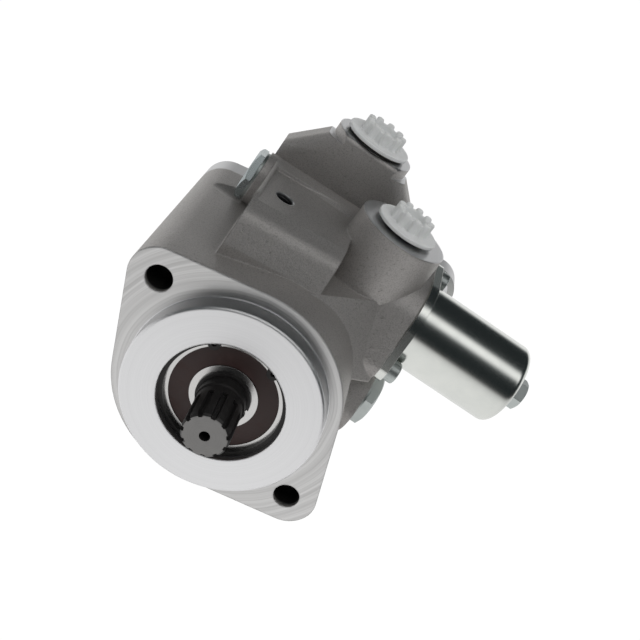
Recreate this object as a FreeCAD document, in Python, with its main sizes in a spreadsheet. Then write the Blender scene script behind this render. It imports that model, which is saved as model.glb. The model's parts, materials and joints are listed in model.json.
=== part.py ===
import FreeCAD, Part
import math
import os
import re

import Sketcher
from FreeCAD import Placement, Rotation, Vector

# Power steering pump: a vane pump with a flow control valve cast into its housing.
# All sizes are in millimetres. The origin lies on the shaft axis, in the plane of
# the mounting flange. -Y points out along the drive shaft, +Z points out of the two
# ports, and +X points out of the steel spring can.

SIZES = {
    # Fits
    "fit_gap": 0.05,            # between pieces that stay together
    "run_gap": 0.08,            # between pieces that move on each other
    # Flange and main casting
    "pilot_radius": 41.275,
    "pilot_height": 9.5,
    "pilot_chamfer": 0.8,
    "casting_wall": 10.2,       # around the pumping cavity
    "ear_reach": 53.2,
    "ear_radius": 12.8,
    "ear_turn": 30.0,
    "ear_hole_radius": 5.55,
    # Drive bearing
    "bearing_front": -4.0,
    "bearing_width": 15.0,
    "bearing_radius": 26.0,
    "shaft_radius": 10.0,
    "ball_radius": 4.7625,
    "ball_count": 7,
    "race_gap": 0.12,
    "inner_ring_wall": 4.0,
    "outer_land_wall": 4.4,
    "seal_rim_wall": 3.7,
    "bearing_seal_thickness": 1.0,
    "bearing_seal_setback": 0.4,
    "ring_chamfer": 0.8,
    "cage_width": 11.4,
    "cage_wall": 1.6,
    "circlip_thickness": 2.0,
    "circlip_depth": 1.4,
    "circlip_width": 3.2,
    "circlip_lug_radius": 2.6,
    "circlip_lug_hole": 1.0,
    "circlip_lug_inset": 1.8,   # of a lug's middle from the bearing's outside
    "circlip_gap_middle": 96.5,
    "circlip_half_gap": 28.5,
    "circlip_lug_turn": 3.0,
    "snap_ring_depth": 0.8,
    "snap_ring_reach": 1.2,
    "snap_ring_thickness": 1.3,
    # Shaft seal and the wall behind it
    "seal_front": 12.0,
    "seal_width": 7.0,
    "seal_radius": 17.5,
    "seal_case_wall": 1.2,
    "wall_hole_radius": 11.2,
    # Pumping group
    "cavity_radius": 37.0,
    "cavity_front": 38.0,
    "side_plate_thickness": 10.0,
    "cam_width": 30.0,
    "pressure_plate_thickness": 12.0,
    "plate_hole_radius": 11.0,
    "kidney_radius": 16.0,
    "kidney_half_width": 2.6,
    "kidney_half_sweep": 26.0,
    "kidney_depth": 6.0,
    "cam_major_radius": 23.4,
    "cam_minor_radius": 20.6,
    "rotor_radius": 20.0,
    "vane_count": 10,
    "vane_thickness": 1.8,
    "vane_length": 8.0,
    "vane_tip_radius": 20.3,
    "dowel_radius": 3.0,
    "dowel_wall": 6.5,          # from the pumping cavity to a dowel's axis
    "dowel_end_margin": 4.0,
    "plate_seal_section": 1.2,
    "disc_spring_inner": 15.0,
    "disc_spring_outer": 27.0,
    "disc_spring_wall": 1.6,
    "disc_spring_height": 3.8,
    # Drive shaft
    "spline_tip_y": -33.1,
    "spline_root_y": -15.5,
    "spline_radius": 9.525,
    "spline_root_radius": 8.15,
    "spline_teeth": 11,
    "spline_gap_width": 2.5,
    "spline_gap_floor": 1.5,
    "spline_chamfer": 0.9,
    "centre_hole_radius": 2.15,
    "centre_hole_depth": 9.0,
    "shoulder_radius": 11.6,
    "shoulder_width": 0.9,
    "drive_tooth_count": 6,
    "drive_tooth_width": 4.0,
    "drive_root_radius": 8.3,
    "drive_tip_radius": 9.7,
    "journal_radius": 7.5,
    # Rear cover
    "cover_thickness": 12.5,
    "spigot_length": 9.15,
    "cover_seal_section": 1.15,
    "bush_radius": 10.0,
    "bush_length": 15.0,
    "cover_bolt_wall": 5.0,     # from the pumping cavity to the bolts' axes
    "cover_bolt_count": 6,
    "cover_bolt_radius": 3.0,
    "cover_bolt_grip": 16.0,
    "cover_bolt_head_radius": 4.9,
    "cover_bolt_head_height": 5.0,
    "bolt_socket_flats": 5.0,
    "bracket_ear_x": 60.5,
    "bracket_ear_z": 46.5,
    "bracket_ear_radius": 11.6,
    "bracket_hole_radius": 8.5,
    # Valve block on top of the casting
    "block_left": -33.5,
    "block_right": 10.0,
    "block_front": 14.0,        # at the left end, and so for the two below
    "block_knee": 20.0,
    "block_brow": 33.0,         # where the top turns down to the front
    "block_rear": 81.5,
    "block_skew": 0.2,          # the front and the brow fall back to the right
    "block_rear_skew": 0.1,
    "block_top": 65.5,
    "block_knee_top": 60.5,
    "block_shoulder": 47.5,
    "block_knee_round": 9.0,
    "block_brow_round": 3.0,
    "block_base": 34.0,
    "pad_recess": 1.5,
    "pad_left": -31.8,
    "pad_front": 10.0,
    "pad_rear": 70.0,
    "pad_rear_skew": 0.17,
    "gauge_x": -22.4,
    "gauge_y": 47.0,
    "gauge_radius": 4.1,
    "gauge_depth": 12.0,
    # Flow control valve, lying along X
    "valve_y": 78.5,
    "valve_z": 53.0,
    "valve_boss_radius": 12.8,
    "valve_boss_left": -37.2,
    "valve_bore_radius": 8.0,
    "valve_bore_end": 8.0,
    "valve_bore_floor": 4.0,
    "spot_face_radius": 14.6,
    "spot_face_depth": 24.0,
    "valve_washer_thickness": 1.2,
    "valve_washer_radius": 11.6,
    "valve_plug_flats": 22.0,
    "valve_plug_turn": 25.0,
    "valve_plug_head": 3.6,
    "valve_plug_shank": 9.0,
    "spool_length": 26.0,
    "spool_groove_depth": 2.2,
    "spool_land": 5.0,
    "spool_pocket_radius": 5.4,
    "spool_pocket_depth": 10.0,
    "spool_spring_radius": 4.2,
    "spool_spring_wire": 0.7,
    "spool_spring_turns": 5,
    # Pressure port
    "pressure_x": 27.3,
    "pressure_y": 61.5,
    "pressure_top": 76.7,
    "pressure_boss_radius": 20.5,
    "pressure_boss_taper": 1.0,
    "pressure_bore_radius": 8.2,
    "pressure_bore_depth": 20.5,
    "pressure_gallery_radius": 3.0,
    "pressure_plug_radius": 14.2,
    # Suction port
    "suction_x": -0.6,
    "suction_y": 103.0,
    "suction_top": 89.0,
    "suction_boss_radius": 19.0,
    "suction_bore_radius": 12.2,
    "suction_bore_depth": 27.0,
    "suction_gallery_radius": 5.0,
    "suction_gallery_y": 96.0,
    "suction_plug_radius": 15.6,
    "rear_block_front": 89.0,
    "rear_block_back": 104.0,
    "rear_block_top": 84.2,
    "rear_block_floor": 56.5,
    "rear_block_left": -36.0,
    "rear_block_right": 28.0,
    "rear_block_foot": 30.0,
    "rear_block_slope": 14.5,   # of the bevelled corner at the left
    "rear_block_corner": 8.5,
    "rear_block_round": 5.5,
    "boss_edge_round": 3.2,
    # Transport plugs for both ports
    "plug_stem_length": 9.0,
    "plug_stem_wall": 1.8,
    "plug_flange_thickness": 1.7,
    "plug_seal_section": 0.75,
    "plug_grip_height": 6.4,
    "plug_rib_radius": 1.5,
    "plug_rib_count": 9,
    "plug_rib_step": 0.6,       # the ribs stop this far below the knob's top
    "plug_dish_depth": 0.8,
    "pressure_grip_radius": 9.3,
    "suction_grip_radius": 10.4,
    # Regulating piston and its spring can, lying along X
    "can_y": 61.0,
    "can_z": 44.0,
    "can_radius": 19.3,
    "can_wall": 1.5,
    "can_length": 52.2,
    "can_round": 4.0,
    "pad_face_out": 4.93,       # past the axes of the mounting bolts
    "pad_root_x": 22.0,
    "plate_thickness": 3.8,
    "plate_waist_radius": 21.0,
    "plate_end_radius": 6.4,
    "plate_hole_radius_can": 15.5,
    "can_bolt_gap": 0.3,        # between the bolt heads and the can
    "can_bolt_turn": 42.0,
    "can_bolt_radius": 3.0,
    "can_bolt_grip": 15.0,
    "can_bolt_head_radius": 5.0,
    "can_bolt_head_height": 5.0,
    "bolt_head_round": 0.8,
    "bolt_hole_spare": 3.0,     # that a blind hole is deeper than its bolt
    "can_seal_radius": 12.6,
    "can_seal_section": 1.0,
    "piston_bore_radius": 9.0,
    "piston_bore_depth": 27.0,
    "piston_length": 33.0,
    "piston_wall": 2.4,
    "spring_seat_radius": 14.6,
    "spring_seat_thickness": 2.0,
    "spring_seat_stub": 3.0,
    "can_spring_radius": 11.8,
    "can_spring_wire": 1.5,
    "can_spring_turns": 6,
    "adjuster_radius": 4.0,
    "adjuster_inside": 4.0,
    "adjuster_flats": 13.0,
    "adjuster_head": 6.0,
    "adjuster_turn": 25.0,
    "adjuster_washer_radius": 8.5,
    "adjuster_washer_thickness": 1.6,
    # Gusset that carries the can pad behind the flange
    "gusset_left": 3.0,
    "gusset_top_left": 46.6,
    "gusset_top_right": 54.0,
    "gusset_low_left": 17.0,
    "gusset_low_right": 20.0,
    "gusset_front_left": 17.5,
    "gusset_front_right": 55.6,
    "gusset_slope": 0.56,
    "gusset_rear": 80.0,
    # Side plug below the can
    "side_y": 58.0,
    "side_z": 2.0,
    "side_boss_radius": 15.0,
    "side_boss_out": 9.93,      # past the axes of the mounting bolts
    "side_boss_height": 17.5,
    "side_boss_foot_reach": 7.0,
    "side_boss_foot_radius": 13.0,
    "side_boss_foot_turn": 225.0,
    "side_bore_radius": 9.0,
    "side_bore_depth": 14.0,
    "side_washer_radius": 13.4,
    "side_washer_thickness": 1.2,
    "side_plug_flats": 24.0,
    "side_plug_head": 4.8,
    "side_plug_turn": 7.0,
    "hex_chamfer": 0.94,        # the flat end of a hexagon head, as a share of its flats
}

doc = FreeCAD.newDocument("PowerSteeringPump")
sheet = doc.addObject("Spreadsheet::Sheet", "Sizes")
for row, (word, number) in enumerate(SIZES.items(), start=1):
    sheet.set(f"A{row}", word)
    sheet.set(f"B{row}", str(number))
    sheet.setAlias(f"B{row}", word)
doc.recompute()

nodes = []


# Helpers that tie a property to the sheet

def linked(text):
    """Write an expression so that its words point to cells of the sheet."""
    return re.sub(r"[a-z][a-z_]+", lambda m: "Sizes." + m[0] if m[0] in SIZES else m[0], text)


def value(text):
    """The number that an expression gives now."""
    result = sheet.evalExpression(linked(text).replace("Sizes.", ""))
    return float(getattr(result, "Value", result))


def tie(thing, path, text):
    thing.setExpression(path, linked(text))


def cos(angle):
    return f"cos({angle})"


def sin(angle):
    return f"sin({angle})"


# Helpers for bodies, sketches and features

ALONG = {
    "X": Rotation(Vector(0, 1, 0), 90),
    "Y": Rotation(Vector(1, 0, 0), -90),
    "Z": Rotation(),
}


def new_body(name, along="Z", centre=("0", "0", "0")):
    """A body whose own Z axis lies along X, Y or Z of the pump, through centre."""
    body = doc.addObject("PartDesign::Body", name)
    body.Label = name
    body.AllowCompound = True
    body.Placement = Placement(Vector(*[value(text) for text in centre]), ALONG[along])
    for letter, text in zip("xyz", centre):
        tie(body, f"Placement.Base.{letter}", text)
    nodes.append(body)
    return body


def origin_part(body, role):
    return next(item for item in body.Origin.OriginFeatures if item.Role == role)


def new_sketch(body, name, role, offset="0", turn=None, shift=None):
    """A sketch on one of the body's own planes, offset along the plane's normal."""
    sketch = body.newObject("Sketcher::SketchObject", f"{body.Name}_{name}")
    sketch.AttachmentSupport = [(origin_part(body, role), "")]
    sketch.MapMode = "FlatFace"
    sketch.AttachmentOffset = Placement(Vector(0, 0, value(offset)), Rotation(Vector(0, 0, 1), 1))
    tie(sketch, "AttachmentOffset.Rotation.Angle", turn or "0")
    tie(sketch, "AttachmentOffset.Base.z", offset)
    if shift:
        tie(sketch, "AttachmentOffset.Base.x", shift[0])
        tie(sketch, "AttachmentOffset.Base.y", shift[1])
    return sketch


def pin(sketch, geometry, point, x_text, y_text):
    """Hold a point of the sketch at a place worked out from the sheet."""
    for kind, text, axis in (("DistanceX", x_text, -2), ("DistanceY", y_text, -1)):
        if text == "0":
            sketch.addConstraint(Sketcher.Constraint("PointOnObject", geometry, point, axis))
            continue
        rule = Sketcher.Constraint(kind, -1, 1, geometry, point, value(text))
        number = sketch.addConstraint(rule)
        tie(sketch, f"Constraints[{number}]", text)


def size(sketch, kind, geometry, text):
    number = sketch.addConstraint(Sketcher.Constraint(kind, geometry, value(text)))
    tie(sketch, f"Constraints[{number}]", text)


def draw_outline(sketch, points):
    """A closed outline of straight lines through points given as pairs of expressions."""
    first = sketch.GeometryCount
    places = [Vector(value(x), value(y), 0) for x, y in points]
    for start, end in zip(places, places[1:] + places[:1]):
        sketch.addGeometry(Part.LineSegment(start, end), False)
    count = len(points)
    for i in range(count):
        sketch.addConstraint(
            Sketcher.Constraint("Coincident", first + i, 2, first + (i + 1) % count, 1))
        pin(sketch, first + i, 1, *points[i])


def draw_circle(sketch, x, y, radius):
    circle = Part.Circle(Vector(value(x), value(y), 0), Vector(0, 0, 1), value(radius))
    geometry = sketch.addGeometry(circle, False)
    pin(sketch, geometry, 3, x, y)
    size(sketch, "Radius", geometry, radius)


def draw_hull(sketch, near_radius, reach, far_radius):
    """Two circles joined by their outer tangents, the second one at reach along x."""
    near, far, distance = value(near_radius), value(far_radius), value(reach)
    lean = math.acos((near - far) / distance)
    c, s = math.cos(lean), math.sin(lean)
    flat = Vector(0, 0, 1)
    far_centre = Vector(distance, 0, 0)
    near_low, near_high = Vector(near * c, -near * s, 0), Vector(near * c, near * s, 0)
    far_low = Vector(distance + far * c, -far * s, 0)
    far_high = Vector(distance + far * c, far * s, 0)
    sketch.addGeometry(
        Part.ArcOfCircle(Part.Circle(Vector(), flat, near), lean, 2 * math.pi - lean), False)
    sketch.addGeometry(Part.LineSegment(near_low, far_low), False)
    sketch.addGeometry(Part.ArcOfCircle(Part.Circle(far_centre, flat, far), -lean, lean), False)
    sketch.addGeometry(Part.LineSegment(far_high, near_high), False)
    pin(sketch, 0, 3, "0", "0")
    pin(sketch, 2, 3, reach, "0")
    for pair in ((0, 2, 1, 1), (1, 2, 2, 1), (2, 2, 3, 1), (3, 2, 0, 1)):
        sketch.addConstraint(Sketcher.Constraint("Tangent", *pair))
    size(sketch, "Radius", 0, near_radius)
    size(sketch, "Radius", 2, far_radius)


def pad(body, sketch, length, back=False, taper=None):
    feature = body.newObject("PartDesign::Pad", sketch.Name + "_pad")
    feature.Profile = sketch
    feature.Reversed = back
    tie(feature, "Length", length)
    if taper:
        tie(feature, "TaperAngle", taper)
    doc.recompute()
    return feature


def cut(body, sketch, depth, back=False):
    """Cut the sketch into the body, and stop if nothing was cut."""
    before = body.Shape.Volume
    feature = body.newObject("PartDesign::Pocket", sketch.Name + "_cut")
    feature.Profile = sketch
    feature.Reversed = back
    tie(feature, "Length", depth)
    doc.recompute()
    if body.Shape.Volume > before - 1e-6:
        raise RuntimeError(f"{feature.Name} cuts nothing")
    return feature


def revolve(body, sketch, remove=False):
    kind = "PartDesign::Groove" if remove else "PartDesign::Revolution"
    before = body.Shape.Volume if remove else 0.0
    feature = body.newObject(kind, sketch.Name + "_turned")
    feature.Profile = sketch
    feature.ReferenceAxis = (sketch, ["V_Axis"])
    feature.Angle = 360
    doc.recompute()
    if remove and body.Shape.Volume > before - 1e-6:
        raise RuntimeError(f"{feature.Name} cuts nothing")
    return feature


def ring_of(body, feature, count):
    """Repeat a feature evenly round the body's own Z axis."""
    pattern = body.newObject("PartDesign::PolarPattern", feature.Name + "_ring")
    pattern.Originals = [feature]
    pattern.Axis = (origin_part(body, "Z_Axis"), [""])
    pattern.Angle = 360
    tie(pattern, "Occurrences", count)
    body.Tip = pattern
    doc.recompute()
    return pattern


def round_edges(body, radius, wanted, kind="PartDesign::Fillet"):
    """Fillet or chamfer the edges that the test wanted picks out by their place."""
    base = body.Tip
    edges = [f"Edge{i}" for i, edge in enumerate(base.Shape.Edges, start=1) if wanted(edge)]
    if not edges:
        raise RuntimeError(f"{body.Name} has no edge to round after {base.Name}")
    feature = body.newObject(kind, base.Name + "_edge")
    feature.Base = (base, edges)
    tie(feature, "Radius" if kind.endswith("Fillet") else "Size", radius)
    doc.recompute()
    return feature


def near(number, text, slack=0.02):
    return abs(number - value(text)) < slack


def turned(name, along, centre, outline):
    """A piece made on a lathe: outline holds pairs of radius and place along the axis."""
    body = new_body(name, along, centre)
    sketch = new_sketch(body, "profile", "XZ_Plane")
    draw_outline(sketch, outline)
    revolve(body, sketch)
    return body


def ring_of_wire(name, along, centre, radius, place, section):
    """An O-ring: a round section swept round the axis."""
    body = new_body(name, along, centre)
    sketch = new_sketch(body, "section", "XZ_Plane")
    draw_circle(sketch, radius, place, section)
    revolve(body, sketch)
    return body


def hole(body, name, role, mouth, x, y, radius, depth, back=False):
    sketch = new_sketch(body, name, role, mouth)
    draw_circle(sketch, x, y, radius)
    return cut(body, sketch, depth, back)


def boss(body, name, role, start, x, y, radius, length, back=False, taper=None):
    sketch = new_sketch(body, name, role, start)
    draw_circle(sketch, x, y, radius)
    return pad(body, sketch, length, back, taper)


def tube_outline(inner, outer, low, high, chamfer="0"):
    """Section of a plain tube, with its outer edges chamfered if a size is given."""
    if chamfer == "0":
        return [(inner, low), (outer, low), (outer, high), (inner, high)]
    return [
        (inner, low), (f"{outer} - {chamfer}", low), (outer, f"{low} + {chamfer}"),
        (outer, f"{high} - {chamfer}"), (f"{outer} - {chamfer}", high), (inner, high)]


def hexagon(flats, corner_angle):
    reach = f"{flats} / 2 / {cos(30)}"
    turns = [f"{corner_angle} + {60 * i}" for i in range(6)]
    return [(f"{reach} * {cos(turn)}", f"{reach} * {sin(turn)}") for turn in turns]


def hex_head(body, name, flats, start, height, corner_angle, back=False):
    """A hexagon head whose corners are turned off at its free end, at 30 degrees."""
    sketch = new_sketch(body, name, "XY_Plane", start)
    draw_outline(sketch, hexagon(flats, corner_angle))
    pad(body, sketch, height, back)
    way = -1 if back else 1
    end = f"({start} + {way} * {height})"
    rim, outside = f"({flats} / 2 * hex_chamfer)", f"({flats} * hex_chamfer)"
    corner = new_sketch(body, name + "_corner", "XZ_Plane")
    draw_outline(corner, [
        (rim, end), (outside, end), (outside, f"{end} - {way} * ({outside} - {rim}) * tan(30)")])
    return revolve(body, corner, remove=True)


def bridge(body, name, first, second):
    """A solid with straight sides between two sketches."""
    loft = body.newObject("PartDesign::AdditiveLoft", name)
    loft.Profile = first
    loft.Sections = [second]
    loft.Ruled = True
    doc.recompute()
    return loft


# Places along the shaft axis that several pieces share

BEARING_BACK = "(bearing_front + bearing_width)"
BEARING_MIDDLE = "(bearing_front + bearing_width / 2)"
SEAL_BACK = "(seal_front + seal_width)"
SIDE_PLATE_BACK = "(cavity_front + side_plate_thickness)"
CAM_BACK = "(cavity_front + side_plate_thickness + cam_width)"
PLATE_BACK = "(cavity_front + side_plate_thickness + cam_width + pressure_plate_thickness)"
SPIGOT_FACE = ("(cavity_front + side_plate_thickness + cam_width + pressure_plate_thickness"
               " + disc_spring_height + fit_gap)")
CASTING_BACK = f"({SPIGOT_FACE} + spigot_length)"
COVER_BACK = f"({CASTING_BACK} + cover_thickness)"
CASTING_RADIUS = "(cavity_radius + casting_wall)"
COVER_BOLT_CIRCLE = "(cavity_radius + cover_bolt_wall)"
EAR_X = "(ear_reach * cos(ear_turn))"
PAD_FACE = f"({EAR_X} + pad_face_out)"
PLATE_FACE = f"({PAD_FACE} + plate_thickness)"
CAN_END = f"({PLATE_FACE} + can_length)"
SIDE_BOSS_END = f"({EAR_X} + side_boss_out)"
SIDE_FACE = f"({SIDE_BOSS_END} + side_washer_thickness)"
PLUG_FACE = "(valve_boss_left - valve_washer_thickness)"
BALL_PITCH = "((bearing_radius + shaft_radius) / 2)"
INNER_LAND = "(shaft_radius + inner_ring_wall)"
OUTER_LAND = "(bearing_radius - outer_land_wall)"
SEAL_RIM = "(bearing_radius - seal_rim_wall)"
DOWEL_CIRCLE = "(cavity_radius - dowel_wall)"
CAN_BOLT_REACH = "(can_radius + can_bolt_gap + can_bolt_head_radius)"
CAN_BOLTS = [
    (f"(can_y + {way} * {CAN_BOLT_REACH} * cos(can_bolt_turn))",
     f"(can_z + {way} * {CAN_BOLT_REACH} * sin(can_bolt_turn))")
    for way in (1, -1)]


# Housing

def cast_outline(body, name, start, length):
    """The casting's section: a round body with two ears for the mounting bolts."""
    for side, turn in (("left", "180 - ear_turn"), ("right", "0 - ear_turn")):
        sketch = new_sketch(body, f"{name}_{side}", "XZ_Plane", start, turn)
        draw_hull(sketch, CASTING_RADIUS, "ear_reach", "ear_radius")
        pad(body, sketch, length, back=True)


def add_valve_block(body):
    """The block over the flow valve, with a sloping brow and a shallow pad on top."""
    def section(name, place, run):
        sketch = new_sketch(body, name, "YZ_Plane", place)
        lean, rear = f"{run} * block_skew", f"block_rear + {run} * block_rear_skew"
        draw_outline(sketch, [
            (f"block_front + {lean}", "block_base"), (f"block_front + {lean}", "block_shoulder"),
            (f"block_knee + {lean}", "block_knee_top"), (f"block_brow + {lean}", "block_top"),
            (rear, "block_top"), (rear, "block_base")])
        return sketch
    bridge(body, "valve_block", section("block_left_end", "block_left", "0"),
           section("block_right_end", "block_right", "(block_right - block_left)"))
    for height, radius in (("block_knee_top", "block_knee_round"),
                           ("block_top", "block_brow_round")):
        round_edges(body, radius, lambda edge: (
            near(edge.CenterOfMass.z, height)
            and edge.CenterOfMass.y < value("block_rear / 2 + block_brow / 2")
            and edge.Length > value("block_right - block_left")))
    recess = new_sketch(body, "pad_recess", "XY_Plane", "block_top")
    draw_outline(recess, [
        ("pad_left", "pad_front"), ("block_right + fit_gap", "pad_front"),
        ("block_right + fit_gap", "pad_rear + (block_right - pad_left) * pad_rear_skew"),
        ("pad_left", "pad_rear")])
    cut(body, recess, "pad_recess")
    boss(body, "valve_boss", "YZ_Plane", "valve_boss_left", "valve_y", "valve_z",
         "valve_boss_radius", "valve_bore_end + valve_bore_floor - valve_boss_left")


def add_rear_block(body):
    """The block behind the valve, which carries the suction port and overhangs the cover."""
    root = new_sketch(body, "rear_block_root", "XZ_Plane", "0 - rear_block_front")
    draw_outline(root, [
        ("rear_block_left", "rear_block_foot"), ("rear_block_left", "rear_block_floor + 1"),
        ("rear_block_right", "rear_block_floor + 1"), ("rear_block_right", "rear_block_foot")])
    pad(body, root, f"{CASTING_BACK} - rear_block_front", back=True)
    wing = new_sketch(body, "rear_block", "XZ_Plane", "0 - rear_block_front")
    draw_outline(wing, [
        ("rear_block_left", "rear_block_floor"),
        ("rear_block_left", "rear_block_top - rear_block_slope"),
        ("rear_block_left + rear_block_slope", "rear_block_top"),
        ("rear_block_right - rear_block_corner", "rear_block_top"),
        ("rear_block_right", "rear_block_top - rear_block_corner"),
        ("rear_block_right", "rear_block_floor")])
    pad(body, wing, "rear_block_back - rear_block_front", back=True)
    round_edges(body, "rear_block_round", lambda edge: (
        near(edge.CenterOfMass.y, "rear_block_front")
        and edge.CenterOfMass.z > value("rear_block_floor")
        and not near(edge.CenterOfMass.z, "rear_block_top", 1)
        and edge.Length > 5))
    boss(body, "suction_boss", "XY_Plane", "suction_top", "suction_x", "suction_y",
         "suction_boss_radius", "suction_top - rear_block_floor - 2", back=True)
    front = new_sketch(body, "suction_boss_front", "XY_Plane", "suction_top")
    draw_outline(front, [
        ("0 - suction_boss_radius * 2", "rear_block_front - suction_boss_radius"),
        ("suction_boss_radius * 2", "rear_block_front - suction_boss_radius"),
        ("suction_boss_radius * 2", "rear_block_front"),
        ("0 - suction_boss_radius * 2", "rear_block_front")])
    cut(body, front, "suction_top - rear_block_floor")
    round_edges(body, "boss_edge_round", lambda edge: (
        near(edge.CenterOfMass.y, "rear_block_front") and near(edge.CenterOfMass.z, "suction_top")))


def add_gusset(body):
    """A sloping web from behind the flange up to the face that carries the can."""
    def section(name, place, top, low, front):
        sketch = new_sketch(body, name, "YZ_Plane", place)
        foot = f"{front} - ({top} - {low}) * gusset_slope"
        draw_outline(sketch, [
            (front, top), ("gusset_rear", top), ("gusset_rear", low), (foot, low)])
        return sketch
    left = section("gusset_left", "gusset_left", "gusset_top_left", "gusset_low_left",
                   "gusset_front_left")
    right = section("gusset_right", PAD_FACE, "gusset_top_right", "gusset_low_right",
                    "gusset_front_right")
    bridge(body, "gusset", left, right)


def add_can_pad(body):
    for way, turn in (("upper", "can_bolt_turn"), ("lower", "can_bolt_turn + 180")):
        sketch = new_sketch(body, f"can_pad_{way}", "YZ_Plane", "pad_root_x", turn,
                            shift=("can_y", "can_z"))
        draw_hull(sketch, "plate_waist_radius - 1", CAN_BOLT_REACH, "plate_end_radius + 1")
        pad(body, sketch, f"{PAD_FACE} - pad_root_x")


def make_housing():
    body = new_body("housing")
    cast_outline(body, "casting", "0", CASTING_BACK)
    boss(body, "pilot", "XZ_Plane", "0", "0", "0", "pilot_radius", "pilot_height")
    round_edges(body, "pilot_chamfer", lambda edge: (
        near(edge.CenterOfMass.y, "0 - pilot_height")
        and near(edge.Length, "2 * pi * pilot_radius")),
        "PartDesign::Chamfer")
    add_rear_block(body)
    add_valve_block(body)
    add_gusset(body)
    add_can_pad(body)
    boss(body, "pressure_boss", "XY_Plane", "pressure_top", "pressure_x", "pressure_y",
         "pressure_boss_radius", "pressure_top - block_base", back=True,
         taper="pressure_boss_taper")
    foot = new_sketch(body, "side_boss", "YZ_Plane", f"{SIDE_BOSS_END} - side_boss_height",
                      "side_boss_foot_turn", shift=("side_y", "side_z"))
    draw_hull(foot, "side_boss_radius", "side_boss_foot_reach", "side_boss_foot_radius")
    pad(body, foot, "side_boss_height")
    # The bores come last, so that no boss fills them again
    hole(body, "pumping_cavity", "XZ_Plane", f"0 - {CASTING_BACK}", "0", "0",
         "cavity_radius", f"{CASTING_BACK} - cavity_front", back=True)
    hole(body, "wall_hole", "XZ_Plane", "0 - cavity_front - 1", "0", "0",
         "wall_hole_radius", "cavity_front + pilot_height + 2", back=True)
    hole(body, "seal_bore", "XZ_Plane", f"0 - {SEAL_BACK}", "0", "0",
         "seal_radius + fit_gap", f"{SEAL_BACK} + pilot_height", back=True)
    hole(body, "bearing_bore", "XZ_Plane", f"0 - {BEARING_BACK}", "0", "0",
         "bearing_radius + fit_gap", f"{BEARING_BACK} + pilot_height", back=True)
    hole(body, "circlip_groove", "XZ_Plane", "0 - bearing_front", "0", "0",
         "bearing_radius + circlip_depth + fit_gap", "circlip_thickness + fit_gap * 2",
         back=True)
    for side, turn in (("left", "180 - ear_turn"), ("right", "0 - ear_turn")):
        sketch = new_sketch(body, f"ear_hole_{side}", "XZ_Plane", "0", turn)
        draw_circle(sketch, "ear_reach", "0", "ear_hole_radius")
        cut(body, sketch, CASTING_BACK)
    for i in range(SIZES["cover_bolt_count"]):
        sketch = new_sketch(body, f"cover_bolt_{i}", "XZ_Plane", f"0 - {CASTING_BACK}",
                            f"360 / cover_bolt_count * {i}")
        draw_circle(sketch, COVER_BOLT_CIRCLE, "0", "cover_bolt_radius + fit_gap")
        cut(body, sketch, "cover_bolt_grip + bolt_hole_spare", back=True)
    hole(body, "spot_face", "YZ_Plane", "valve_boss_left", "valve_y", "valve_z",
         "spot_face_radius", "spot_face_depth")
    hole(body, "valve_bore", "YZ_Plane", "valve_boss_left", "valve_y", "valve_z",
         "valve_bore_radius", "valve_bore_end - valve_boss_left", back=True)
    hole(body, "gauge_hole", "XY_Plane", "block_top", "gauge_x", "gauge_y",
         "gauge_radius", "gauge_depth + pad_recess")
    hole(body, "pressure_bore", "XY_Plane", "pressure_top", "pressure_x", "pressure_y",
         "pressure_bore_radius", "pressure_bore_depth")
    hole(body, "pressure_gallery", "XY_Plane", "pressure_top", "pressure_x", "pressure_y",
         "pressure_gallery_radius", "pressure_top - can_z")
    hole(body, "suction_bore", "XY_Plane", "suction_top", "suction_x", "suction_y",
         "suction_bore_radius", "suction_bore_depth")
    hole(body, "suction_gallery", "XY_Plane", "suction_top - suction_bore_depth + 1",
         "suction_x", "suction_gallery_y", "suction_gallery_radius",
         "suction_top - suction_bore_depth - cavity_radius + 6")
    hole(body, "piston_bore", "YZ_Plane", PAD_FACE, "can_y", "can_z",
         "piston_bore_radius", "piston_bore_depth")
    hole(body, "side_bore", "YZ_Plane", f"{SIDE_BOSS_END}", "side_y", "side_z",
         "side_bore_radius", "side_bore_depth")
    for i, (y, z) in enumerate(CAN_BOLTS):
        hole(body, f"can_bolt_hole_{i}", "YZ_Plane", PAD_FACE, y, z,
             "can_bolt_radius + fit_gap", "can_bolt_grip - plate_thickness + bolt_hole_spare")
    seal_groove = new_sketch(body, "can_seal_groove", "YZ_Plane", PAD_FACE)
    draw_circle(seal_groove, "can_y", "can_z", "can_seal_radius + can_seal_section + fit_gap * 4")
    draw_circle(seal_groove, "can_y", "can_z", "can_seal_radius - can_seal_section - fit_gap * 4")
    cut(body, seal_groove, "can_seal_section * 2 + fit_gap")
    return body


# Rear cover, its bolts, seal and bush

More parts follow.
